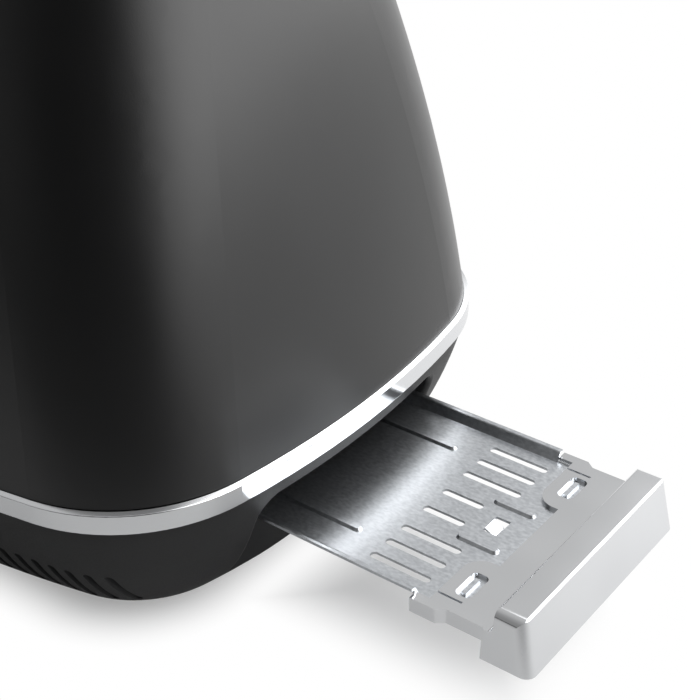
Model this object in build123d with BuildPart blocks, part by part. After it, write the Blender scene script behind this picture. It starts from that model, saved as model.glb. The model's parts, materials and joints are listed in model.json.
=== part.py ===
"""A two-slot pop-up toaster with its crumb tray drawn out.

Lengths are in millimetres, +Z is up and the feet stand on z = 0. The long sides face -Y and +Y. The crumb
tray slides out at the +X end, and the lever, the browning dial and the buttons are at the -X end. Pieces are
drawn about the middle of the body. When they are written they move by MIDDLE_X, which puts the origin under
the middle of the whole part as it stands with the tray drawn out.
"""
import os
from math import sqrt

from build123d import *

os.makedirs("parts", exist_ok=True)

# ---------------------------------------------------------------- driving dimensions
# Body plan, measured round the bright ring
BODY_LENGTH = 290.0
BODY_WIDTH = 198.5
BODY_HEIGHT = 205.0
SIDE_BOW = 16.0  # how far the long side's middle stands out past its corners
END_BOW = 12.0
CORNER_RADIUS = 48.5

# Heights of the stacked casing pieces
FOOT_HEIGHT = 6.0
RING_Z = 49.6
RING_HEIGHT = 6.6
RING_WIDTH = 5.0
RING_LIP = 0.5  # drop of the sloping lip above the band
RING_LIP_WIDTH = 1.3
RING_CREST = 0.3
SEAT_GAP = 0.3  # assembly clearance between stacked pieces

# Painted steel shell
SHELL_THICKNESS = 1.2
SHELL_INSET = 1.3  # step from the ring's face to the shell's foot
SHELL_TAPER = 14.5  # how far the shell would lean in at its top if it were straight
SHELL_CURVE = 14.2  # how much further it leans in there by curving
SHELL_TOP_Z = BODY_HEIGHT - 9.0

# Base moulding
BASE_WALL = 2.5
BASE_STEP = 1.0  # step from the ring's face to the base's upper edge
BASE_LEAN = 8.9
BASE_ROUND = 14.0
BOSS_X = 104.0
BOSS_Y = 52.0
BOSS_RADIUS = 5.0
VENT_WIDTH = 2.4
VENT_PITCH = 5.5
VENT_COUNT = 12
VENT_TOP_Z = 28.4
VENT_BOTTOM_Z = 13.0
VENT_LAST_X = 113.4
FOOT_X = 90.0
FOOT_Y = 48.0
FOOT_RADIUS = 9.0

# Crumb tray
SHEET = 0.8
TRAY_Z = 32.0  # top of the tray's floor
TRAY_HALF_WIDTH = 37.3
TRAY_WALL = 3.0
TRAY_HEM = 1.2
TRAY_HOME_X = -75.0  # rear edge with the tray pushed home
TRAY_TRAVEL = 83.0  # from home to where it is drawn out
TRAY_WALL_END_X = 187.1
TRAY_FRONT_X = 210.3
BEAD_Y = 23.7
BEAD_END_X = 159.7
CRUMB_SLOT_WIDTH = 2.6
CRUMB_SLOT_X = 167.5
CRUMB_SLOT_YS = (30.0, 22.8, 15.4)
LONG_SLOT = 19.6
SHORT_SLOT_Y = 4.8
SHORT_SLOT = 13.7
RIB_Y = 9.6
RIB_X = 182.0
RIB_LENGTH = 13.7
TAB_HOLE_X = 186.6
TAB_HOLE = 4.6
TAB_HOLE_WIDTH = 7.4

# Tray handle
HANDLE_FRONT_X = 224.0
HANDLE_TOP_FRONT_X = 220.7
HANDLE_TOP_REAR_X = 212.0
HANDLE_REAR_X = 208.9
HANDLE_TOP_Z = 40.4
HANDLE_BOTTOM_Z = 23.6
HANDLE_HALF_WIDTH = 39.2
HANDLE_TOP_HALF_WIDTH = 37.9
HANDLE_CORNER = 3.2
HANDLE_END_ROUND = 3.0  # rounding along each end of the grip's top
HANDLE_EDGE_ROUND = 0.8  # rounding along its front
HANDLE_HOLLOW = 1.8  # concave fillet from the carrier plate up to the grip
HANDLE_WALL = 1.8
CARRIER_PLATE = 1.2
CARRIER_REAR_X = 199.4
TONGUE_REAR_X = 191.6
TONGUE_INNER_Y = 15.2
TONGUE_CORNER = 6.0
WINDOW_X = 195.2
WINDOW_DEPTH = 5.0
WINDOW_Y = 20.8
WINDOW_LENGTH = 10.4
SNAP_LUG = 1.4  # raised lug of the tray that each window snaps over
SNAP_LUG_WIDTH = 7.0
SKIRT_DEPTH = 4.6
SKIRT_WALL = 1.2
POD_LENGTH = 8.0
POD_STEP = 1.8
SLIT_Y = 33.0
SLIT_WIDTH = 0.7

# Pocket in the base that the handle slides home into
POCKET_REAR_X = 125.5
POCKET_HALF_WIDTH = 41.0
POCKET_TOP_Z = 43.5
POCKET_CORNER = 7.0
POCKET_EDGE_ROUND = 1.5
POCKET_SILL_Z = 27.5
POCKET_WALL = 2.0

# Chassis
PLATE_Z = 39.3
PLATE_THICKNESS = 1.0
PLATE_HALF_LENGTH = 118.0
PLATE_HALF_WIDTH = 62.0
RAIL_REAR_X = -78.0
RAIL_FRONT_X = 100.0
RAIL_CLEARANCE = 0.2
FRAME_X = 74.2  # oven face of each end frame
FRAME_HALF_WIDTH = 52.0
FRAME_TOP_Z = BODY_HEIGHT - 18.0
FRAME_FLANGE = 8.0
REFLECTOR_Y = 50.0

# Bread slots and the oven between the frames
SLOT_Y = 25.0
SLOT_LENGTH = 142.0
SLOT_WIDTH = 30.0
SLOT_CORNER = 6.0
DECK_THICKNESS = 2.2
DECK_EDGE = 6.0
TRIM_FLANGE = 1.6
TRIM_WALL = 0.9
TRIM_DEPTH = 17.0
BOARD_THICKNESS = 1.0
BOARD_Y = 45.0
BOARD_HALF_LENGTH = 68.0
BOARD_BOTTOM_Z = 48.0
BOARD_TOP_Z = BODY_HEIGHT - 21.0
RIBBON_HEIGHT = 1.2
RIBBON_THICKNESS = 0.4
RIBBON_PITCH = 9.6
RIBBON_MARGIN = 14.0
RIBBON_TURNS = 1 + int((BOARD_TOP_Z - BOARD_BOTTOM_Z - 2 * RIBBON_MARGIN) / RIBBON_PITCH)
GUIDE_OFFSET = 13.0  # from the middle of a slot to its guide wires
GUIDE_TRAVEL = 3.0
GUIDE_WIRE = 0.9
GUIDE_BOTTOM_Z = 66.0
GUIDE_TOP_Z = BODY_HEIGHT - 29.0
GUIDE_BARS = 7
GUIDE_BAR_PITCH = 20.0

# Lift mechanism
RACK_Z = BODY_HEIGHT - 81.0
RACK_LOW_Z = 64.0
RACK_HALF_WIDTH = 7.0
RACK_HALF_LENGTH = 70.0
RACK_SHEET = 1.0
CARRIAGE_X = -80.2
CARRIAGE_SHEET = 1.2
CARRIAGE_HALF_WIDTH = 32.0
CARRIAGE_BOTTOM_Z = BODY_HEIGHT - 87.0
CARRIAGE_TOP_Z = BODY_HEIGHT - 53.0
ROD_X = -86.5
ROD_Y = 16.0
ROD_RADIUS = 2.0
ROD_TOP_Z = BODY_HEIGHT - 25.0
BUSH_RADIUS = 4.0
BUSH_CLEARANCE = 0.1
BUSH_HEIGHT = 16.0
ARM_Z = BODY_HEIGHT - 42.0
ARM_HEIGHT = 10.0
ARM_THICKNESS = 3.0
ARM_END_X = -160.0
SPRING_Y = 26.0
SPRING_RADIUS = 3.0
SPRING_WIRE = 0.4
SPRING_PITCH = 2.9
MAGNET_X = -90.0

# Controls
KNOB_INNER_X = -146.0
KNOB_OUTER_X = -168.0
KNOB_WIDTH = 36.0
KNOB_HEIGHT = 15.0
PANEL_THICKNESS = 1.0
PANEL_HALF_WIDTH = 47.0
PANEL_BOTTOM_Z = 58.6
PANEL_TOP_Z = 93.0
DIAL_Z = 75.8
DIAL_RADIUS = 13.6
DIAL_FRONT_X = -157.0
DIAL_REAR_X = -141.0
BEZEL_RADIUS = 15.8
BEZEL_FRONT_X = -147.0
BEZEL_REAR_X = -137.0
BUTTON_Y = 34.0
BUTTON_ZS = (67.0, 84.6)
BUTTON_RADIUS = 5.6
BUTTON_FRONT_X = -147.5
BUTTON_TRAVEL = 1.8
SHAFT_RADIUS = 3.0

# Control board
BOARD_FRONT_X = -104.8
BOARD_SHEET = 1.6
BOARD_HALF_WIDTH = 44.0
BOARD_NOTCH_Y = 8.0
BOARD_SHOULDER_Z = BODY_HEIGHT - 55.0
SHIELD_HALF_WIDTH = 47.0
SHIELD_SLOT = 5.0  # half width of the slot that the lever arm runs in
SHIELD_TOP_Z = FRAME_TOP_Z - 12.0
GLAND_Y = 30.0
GLAND_Z = 24.0
GLAND_RADIUS = 6.5

# ---------------------------------------------------------------- values that follow
SHELL_BOTTOM_Z = RING_Z + RING_HEIGHT + SEAT_GAP
PLATE_TOP_Z = PLATE_Z + PLATE_THICKNESS
BASE_FLOOR_Z = FOOT_HEIGHT + BASE_WALL
MIDDLE_X = (HANDLE_FRONT_X + KNOB_OUTER_X) / 2
LIFT_TRAVEL = RACK_Z - RACK_LOW_Z
TRAY_REAR_X = TRAY_HOME_X + TRAY_TRAVEL
RAIL_Z = TRAY_Z - SHEET - RAIL_CLEARANCE


def shell_inset(z):
    """How far the shell stands in from the ring's face at a height."""
    rise = (z - SHELL_BOTTOM_Z) / (SHELL_TOP_Z - SHELL_BOTTOM_Z)
    return SHELL_INSET + SHELL_TAPER * rise + SHELL_CURVE * rise**2


def base_inset(z):
    """How far the base moulding has curved in from the ring's face at a height."""
    drop = (RING_Z - z) / (RING_Z - FOOT_HEIGHT)
    return BASE_STEP + BASE_LEAN * drop + BASE_ROUND * (1 - sqrt(max(0.0, 1 - drop**2)))


# flat seat of the cord gland, level with the highest point of the curved wall around it
GLAND_SEAT_X = -BODY_LENGTH / 2 + base_inset(GLAND_Z + GLAND_RADIUS)


def plan(z, inset=0.0, wall=0.0):
    """The body's bowed outline at a height: an inset keeps the corner radius, a wall reduces it."""
    half_length = BODY_LENGTH / 2 - inset - wall
    half_width = BODY_WIDTH / 2 - inset - wall
    corner_x = half_length - END_BOW
    corner_y = half_width - SIDE_BOW
    with BuildSketch(Plane.XY.offset(z)) as outline:
        with BuildLine():
            ThreePointArc((-corner_x, -corner_y), (0, -half_width), (corner_x, -corner_y))
            ThreePointArc((corner_x, -corner_y), (half_length, 0), (corner_x, corner_y))
            ThreePointArc((corner_x, corner_y), (0, half_width), (-corner_x, corner_y))
            ThreePointArc((-corner_x, corner_y), (-half_length, 0), (-corner_x, -corner_y))
        make_face()
        fillet(outline.vertices(), CORNER_RADIUS - wall)
    return outline.sketch


def block(x, y, z, mode=Mode.ADD):
    """A box between two limits along each axis."""
    spans = [sorted(span) for span in (x, y, z)]
    with Locations(tuple(sum(span) / 2 for span in spans)):
        Box(*[high - low for low, high in spans], mode=mode)


def write(piece, label):
    """Moves a finished piece to the part's origin, labels it and writes it."""
    placed = piece.part.moved(Location((-MIDDLE_X, 0, 0)))
    placed.label = label
    export_step(placed, f"parts/{label}.step")


# ---------------------------------------------------------------- casing: outer shell
SHELL_LEVELS = [SHELL_BOTTOM_Z + (SHELL_TOP_Z - SHELL_BOTTOM_Z) * step / 5 for step in range(6)]


def shell_skin(outside, inside):
    """The shell's form between two offsets from its outer face, as a closed band of wall."""
    with BuildPart() as skin:
        loft([plan(z, shell_inset(z), outside) for z in SHELL_LEVELS])
        loft([plan(z, shell_inset(z), inside) for z in SHELL_LEVELS], mode=Mode.SUBTRACT)
    return skin.part


with BuildPart() as outer_shell:
    add(shell_skin(0.0, SHELL_THICKNESS))
    # lever slot, dial hole and button holes in the control end
    slot_low_z = ARM_Z - LIFT_TRAVEL - ARM_HEIGHT / 2 - ARM_THICKNESS
    slot_high_z = ARM_Z + ARM_HEIGHT / 2 + ARM_THICKNESS
    block(
        (-BODY_LENGTH / 2, -BODY_LENGTH / 4),
        (-ARM_THICKNESS, ARM_THICKNESS),
        (slot_low_z, slot_high_z),
        Mode.SUBTRACT,
    )
    with BuildSketch(Plane.YZ.offset(-BODY_LENGTH / 2)):
        with Locations((0, DIAL_Z)):
            Circle(BEZEL_RADIUS)
        with Locations([(side * BUTTON_Y, z) for side in (-1, 1) for z in BUTTON_ZS]):
            Circle(BUTTON_RADIUS + 1.2)
    extrude(amount=BODY_LENGTH / 4, mode=Mode.SUBTRACT)
write(outer_shell, "outer_shell")

# ---------------------------------------------------------------- casing: top deck and bread slots
with BuildPart() as top_deck:
    deck_z = SHELL_TOP_Z + SEAT_GAP
    loft([plan(deck_z, shell_inset(SHELL_TOP_Z)), plan(BODY_HEIGHT, shell_inset(BODY_HEIGHT))])
    fillet(top_deck.faces().sort_by(Axis.Z)[-1].edges(), DECK_EDGE)
    extrude(
        plan(deck_z, shell_inset(BODY_HEIGHT), DECK_THICKNESS),
        amount=BODY_HEIGHT - DECK_THICKNESS - deck_z,
        mode=Mode.SUBTRACT,
    )
    # locating skirt that drops inside the shell
    skirt_inset = shell_inset(SHELL_TOP_Z)
    extrude(plan(deck_z - 6, skirt_inset, SHELL_THICKNESS + SEAT_GAP), amount=6 + DECK_THICKNESS)
    extrude(plan(deck_z - 6, skirt_inset, SHELL_THICKNESS + 2), amount=6 + DECK_THICKNESS, mode=Mode.SUBTRACT)
    with BuildSketch(Plane.XY.offset(BODY_HEIGHT)):
        with Locations((0, -SLOT_Y), (0, SLOT_Y)):
            RectangleRounded(SLOT_LENGTH, SLOT_WIDTH, SLOT_CORNER)
    extrude(amount=-2 * DECK_THICKNESS, mode=Mode.SUBTRACT)
write(top_deck, "top_deck")



def slot_outline(z, inset):
    """Both bread slots at a height, drawn in by an inset or out by a negative one."""
    with BuildSketch(Plane.XY.offset(z)) as outline:
        with Locations((0, -SLOT_Y), (0, SLOT_Y)):
            RectangleRounded(SLOT_LENGTH - 2 * inset, SLOT_WIDTH - 2 * inset, SLOT_CORNER - inset)
    return outline.sketch


with BuildPart() as bread_slot_trims:
    extrude(slot_outline(BODY_HEIGHT, -TRIM_FLANGE), amount=TRIM_WALL)
    fillet(bread_slot_trims.faces().group_by(Axis.Z)[-1].edges(), TRIM_WALL * 0.6)
    throat_inset = SEAT_GAP / 2
    extrude(slot_outline(BODY_HEIGHT, throat_inset), amount=-TRIM_DEPTH)
    extrude(
        slot_outline(BODY_HEIGHT + TRIM_WALL, throat_inset + TRIM_WALL),
        amount=-TRIM_DEPTH - 2 * TRIM_WALL,
        mode=Mode.SUBTRACT,
    )
write(bread_slot_trims, "bread_slot_trims")

# ---------------------------------------------------------------- casing: bright ring
with BuildPart() as chrome_ring:
    crest_z = RING_Z + RING_HEIGHT - RING_LIP
    extrude(plan(RING_Z), amount=RING_HEIGHT - RING_LIP)
    loft([plan(crest_z), plan(RING_Z + RING_HEIGHT, wall=RING_LIP_WIDTH)], ruled=True)
    fillet([edge for edge in chrome_ring.edges() if abs(edge.center().Z - crest_z) < 0.01], RING_CREST)
    fillet(chrome_ring.faces().sort_by(Axis.Z)[0].edges(), RING_CREST)
    extrude(plan(RING_Z, wall=RING_WIDTH), amount=RING_HEIGHT, mode=Mode.SUBTRACT)
write(chrome_ring, "chrome_ring")

# ---------------------------------------------------------------- casing: base moulding
BASE_DROPS = (0.0, 0.3, 0.55, 0.75, 0.88, 0.96, 1.0)


def base_levels(bottom_z):
    """Section heights down the base, closer together where it curves fastest."""
    return [RING_Z - drop * (RING_Z - bottom_z) for drop in BASE_DROPS]


with BuildPart() as base_form:
    loft([plan(z, wall=base_inset(z)) for z in base_levels(FOOT_HEIGHT)])

with BuildPart() as base_hollow:
    loft([plan(z, wall=base_inset(z) + BASE_WALL) for z in base_levels(BASE_FLOOR_Z)])

with BuildPart() as handle_pocket:
    with BuildSketch(Plane.YZ.offset(POCKET_REAR_X)) as mouth:
        with BuildLine():
            Polyline(
                (-POCKET_HALF_WIDTH, -FOOT_HEIGHT),
                (-POCKET_HALF_WIDTH, POCKET_TOP_Z),
                (POCKET_HALF_WIDTH, POCKET_TOP_Z),
                (POCKET_HALF_WIDTH, -FOOT_HEIGHT),
                close=True,
            )
        make_face()
        fillet(mouth.vertices().group_by(Axis.Y)[-1], POCKET_CORNER)
    extrude(amount=BODY_LENGTH / 2 - POCKET_REAR_X + SEAT_GAP)
    # the tray passes through the pocket's rear wall above the sill
    with BuildSketch(Plane.YZ.offset(POCKET_REAR_X - 2 * POCKET_WALL)) as passage:
        with BuildLine():
            Polyline(
                (-POCKET_HALF_WIDTH, POCKET_SILL_Z),
                (-POCKET_HALF_WIDTH, POCKET_TOP_Z),
                (POCKET_HALF_WIDTH, POCKET_TOP_Z),
                (POCKET_HALF_WIDTH, POCKET_SILL_Z),
                close=True,
            )
        make_face()
        fillet(passage.vertices().group_by(Axis.Y)[-1], POCKET_CORNER)
    extrude(amount=2 * POCKET_WALL)

with BuildPart() as pocket_walls:
    block(
        (POCKET_REAR_X - POCKET_WALL, BODY_LENGTH / 2),
        (-POCKET_HALF_WIDTH - POCKET_WALL, POCKET_HALF_WIDTH + POCKET_WALL),
        (FOOT_HEIGHT, POCKET_TOP_Z + POCKET_WALL),
    )
    add(base_form.part, mode=Mode.INTERSECT)

BOSS_POINTS = [(x, y) for x in (-BOSS_X, 0, BOSS_X) for y in (-BOSS_Y, BOSS_Y)]
VENT_XS = [VENT_LAST_X - VENT_PITCH * step for step in range(VENT_COUNT)]

with BuildPart() as base_moulding:
    add(base_form.part)
    add(base_hollow.part, mode=Mode.SUBTRACT)
    add(pocket_walls.part)
    # ledge under the ring and collar that locates the ring and the foot of the shell
    ledge_z = RING_Z - BASE_WALL
    extrude(plan(ledge_z, wall=base_inset(ledge_z)), amount=BASE_WALL)
    extrude(plan(ledge_z, wall=RING_WIDTH + SEAT_GAP), amount=RING_HEIGHT + BASE_WALL)
    extrude(
        plan(ledge_z, wall=RING_WIDTH + SEAT_GAP + BASE_WALL),
        amount=RING_HEIGHT + BASE_WALL,
        mode=Mode.SUBTRACT,
    )
    # screw bosses under the chassis plate
    with BuildSketch(Plane.XY.offset(FOOT_HEIGHT)):
        with Locations(BOSS_POINTS):
            Circle(BOSS_RADIUS)
    extrude(amount=PLATE_Z - FOOT_HEIGHT)
    add(handle_pocket.part, mode=Mode.SUBTRACT)
    with BuildSketch(Plane.XY.offset(FOOT_HEIGHT)):
        with Locations(BOSS_POINTS):
            Circle(1.6)
    extrude(amount=PLATE_Z - FOOT_HEIGHT, mode=Mode.SUBTRACT)
    with BuildSketch(Plane.XY.offset(FOOT_HEIGHT)):
        with Locations(BOSS_POINTS):
            Circle(3.4)
    extrude(amount=2.2, mode=Mode.SUBTRACT)
    # vents across the curved lower edge, a group at each end of each long side
    with BuildSketch(Plane.XZ):
        with Locations([(side * x, (VENT_TOP_Z + VENT_BOTTOM_Z) / 2) for side in (-1, 1) for x in VENT_XS]):
            SlotOverall(VENT_TOP_Z - VENT_BOTTOM_Z, VENT_WIDTH, rotation=90)
    extrude(amount=BODY_WIDTH / 2, both=True, mode=Mode.SUBTRACT)
    # air slots through the floor under the tray
    with BuildSketch(Plane.XY.offset(FOOT_HEIGHT)):
        with GridLocations(14, 44, 12, 2):
            SlotOverall(34, 4, rotation=90)
    extrude(amount=BASE_WALL, mode=Mode.SUBTRACT)
    # flat boss and hole for the cord gland
    with BuildSketch(Plane.YZ.offset(GLAND_SEAT_X)):
        with Locations((GLAND_Y, GLAND_Z)):
            Circle(GLAND_RADIUS + 2.5)
    extrude(amount=12)
    with BuildSketch(Plane.YZ.offset(GLAND_SEAT_X)):
        with Locations((GLAND_Y, GLAND_Z)):
            Circle(GLAND_RADIUS)
    extrude(amount=30, mode=Mode.SUBTRACT)
    # softened edge where the pocket opens through the curved outside
    mouth_edges = [
        edge
        for edge in base_moulding.edges().filter_by(GeomType.BSPLINE)
        if edge.center().X > POCKET_REAR_X + 2 * POCKET_WALL
        and abs(edge.center().Y) < POCKET_HALF_WIDTH + SEAT_GAP
        and edge.center().Z < POCKET_TOP_Z + SEAT_GAP
    ]
    fillet(mouth_edges, POCKET_EDGE_ROUND)
write(base_moulding, "base_moulding")

with BuildPart() as rubber_feet:
    with BuildSketch():
        with GridLocations(2 * FOOT_X, 2 * FOOT_Y, 2, 2):
            Circle(FOOT_RADIUS)
    extrude(amount=FOOT_HEIGHT)
    fillet(rubber_feet.faces().group_by(Axis.Z)[0].edges(), 1.2)
write(rubber_feet, "rubber_feet")

with BuildPart() as base_screws:
    with BuildSketch(Plane.XY.offset(FOOT_HEIGHT + 0.2)):
        with Locations(BOSS_POINTS):
            Circle(3.1)
    extrude(amount=2.0)
    with BuildSketch(Plane.XY.offset(FOOT_HEIGHT + 2.2)):
        with Locations(BOSS_POINTS):
            Circle(1.4)
    extrude(amount=PLATE_TOP_Z + 1.5 - FOOT_HEIGHT - 2.2)
write(base_screws, "base_screws")

with BuildPart() as cord_gland:
    with BuildSketch(Plane.YZ.offset(GLAND_SEAT_X)):
        with Locations((GLAND_Y, GLAND_Z)):
            Circle(GLAND_RADIUS - 0.1)
    extrude(amount=BASE_WALL + 12)
    with BuildSketch(Plane.YZ.offset(GLAND_SEAT_X)):
        with Locations((GLAND_Y, GLAND_Z)):
            Circle(GLAND_RADIUS + 2)
    extrude(amount=-2.5)
    fillet(cord_gland.faces().sort_by(Axis.X)[0].edges(), 1.2)
    with BuildSketch(Plane.YZ.offset(GLAND_SEAT_X - 3)):
        with Locations((GLAND_Y, GLAND_Z)):
            Circle(3.4)
    extrude(amount=BASE_WALL + 16, mode=Mode.SUBTRACT)
write(cord_gland, "cord_gland")

# ---------------------------------------------------------------- crumb tray
with BuildPart() as crumb_tray:
    # folded sheet: floor, flared walls and a hem turned outwards
    with BuildSketch(Plane.YZ.offset(TRAY_REAR_X)) as fold:
        with BuildLine() as line:
            middle_z = TRAY_Z - SHEET / 2
            FilletPolyline(
                (-TRAY_HALF_WIDTH - TRAY_HEM, middle_z + TRAY_WALL),
                (-TRAY_HALF_WIDTH, middle_z + TRAY_WALL),
                (-TRAY_HALF_WIDTH + 1.6, middle_z),
                (TRAY_HALF_WIDTH - 1.6, middle_z),
                (TRAY_HALF_WIDTH, middle_z + TRAY_WALL),
                (TRAY_HALF_WIDTH + TRAY_HEM, middle_z + TRAY_WALL),
                radius=0.6,
            )
        trace(line_width=SHEET)
    extrude(amount=TRAY_FRONT_X - TRAY_REAR_X)
    block(
        (TRAY_REAR_X, TRAY_REAR_X + SHEET),
        (-TRAY_HALF_WIDTH + 2, TRAY_HALF_WIDTH - 2),
        (TRAY_Z - SHEET, TRAY_Z + TRAY_WALL),
    )
    # the walls stop short of the handle
    block(
        (TRAY_WALL_END_X, TRAY_FRONT_X),
        (-TRAY_HALF_WIDTH - 2 * TRAY_HEM, TRAY_HALF_WIDTH + 2 * TRAY_HEM),
        (TRAY_Z, TRAY_Z + 2 * TRAY_WALL),
        Mode.SUBTRACT,
    )
    for side in (-1, 1):
        edge_y = side * (HANDLE_TOP_HALF_WIDTH - SKIRT_WALL - SEAT_GAP)
        block(
            (TRAY_WALL_END_X, TRAY_FRONT_X),
            (edge_y, side * (TRAY_HALF_WIDTH + 2 * TRAY_HEM)),
            (TRAY_Z - 2 * SHEET, TRAY_Z + SHEET),
            Mode.SUBTRACT,
        )
    # raised beads along each side and two short ribs at the front
    with BuildSketch(Plane.XY.offset(TRAY_Z)):
        with Locations([(BEAD_END_X / 2 + TRAY_REAR_X, side * BEAD_Y) for side in (-1, 1)]):
            SlotOverall(BEAD_END_X - 2 * TRAY_REAR_X, 3.0)
        with Locations([(RIB_X + RIB_LENGTH / 2, side * RIB_Y) for side in (-1, 1)]):
            SlotOverall(RIB_LENGTH, 3.2)
    extrude(amount=0.8, taper=40)
    # crumb slots: three long ones each side of two short ones
    with BuildSketch(Plane.XY.offset(TRAY_Z)):
        with Locations([(CRUMB_SLOT_X + LONG_SLOT / 2, side * y) for side in (-1, 1) for y in CRUMB_SLOT_YS]):
            SlotOverall(LONG_SLOT, CRUMB_SLOT_WIDTH)
        with Locations([(CRUMB_SLOT_X + SHORT_SLOT / 2, side * SHORT_SLOT_Y) for side in (-1, 1)]):
            SlotOverall(SHORT_SLOT, CRUMB_SLOT_WIDTH)
        with Locations((TAB_HOLE_X + TAB_HOLE / 2, 0)):
            Rectangle(TAB_HOLE, TAB_HOLE_WIDTH)
    extrude(amount=-SHEET, mode=Mode.SUBTRACT)
    # lugs that the handle's windows snap over
    for side in (-1, 1):
        lug_y = side * (WINDOW_Y + WINDOW_LENGTH / 2)
        block(
            (WINDOW_X + SNAP_LUG, WINDOW_X + 2 * SNAP_LUG),
            (lug_y - SNAP_LUG_WIDTH / 2, lug_y + SNAP_LUG_WIDTH / 2),
            (TRAY_Z - SHEET / 2, TRAY_Z + CARRIER_PLATE * 0.7),
        )
    # tongue lanced down out of the square hole
    with BuildSketch(Plane.XZ.offset(-TAB_HOLE_WIDTH / 3)):
        with BuildLine():
            Polyline(
                (TAB_HOLE_X, TRAY_Z),
                (TAB_HOLE_X + TAB_HOLE * 0.7, TRAY_Z - 1.8),
                (TAB_HOLE_X + TAB_HOLE * 0.7, TRAY_Z - 1.8 - SHEET),
                (TAB_HOLE_X, TRAY_Z - SHEET),
                close=True,
            )
        make_face()
    extrude(amount=TAB_HOLE_WIDTH * 2 / 3)
write(crumb_tray, "crumb_tray")

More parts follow.
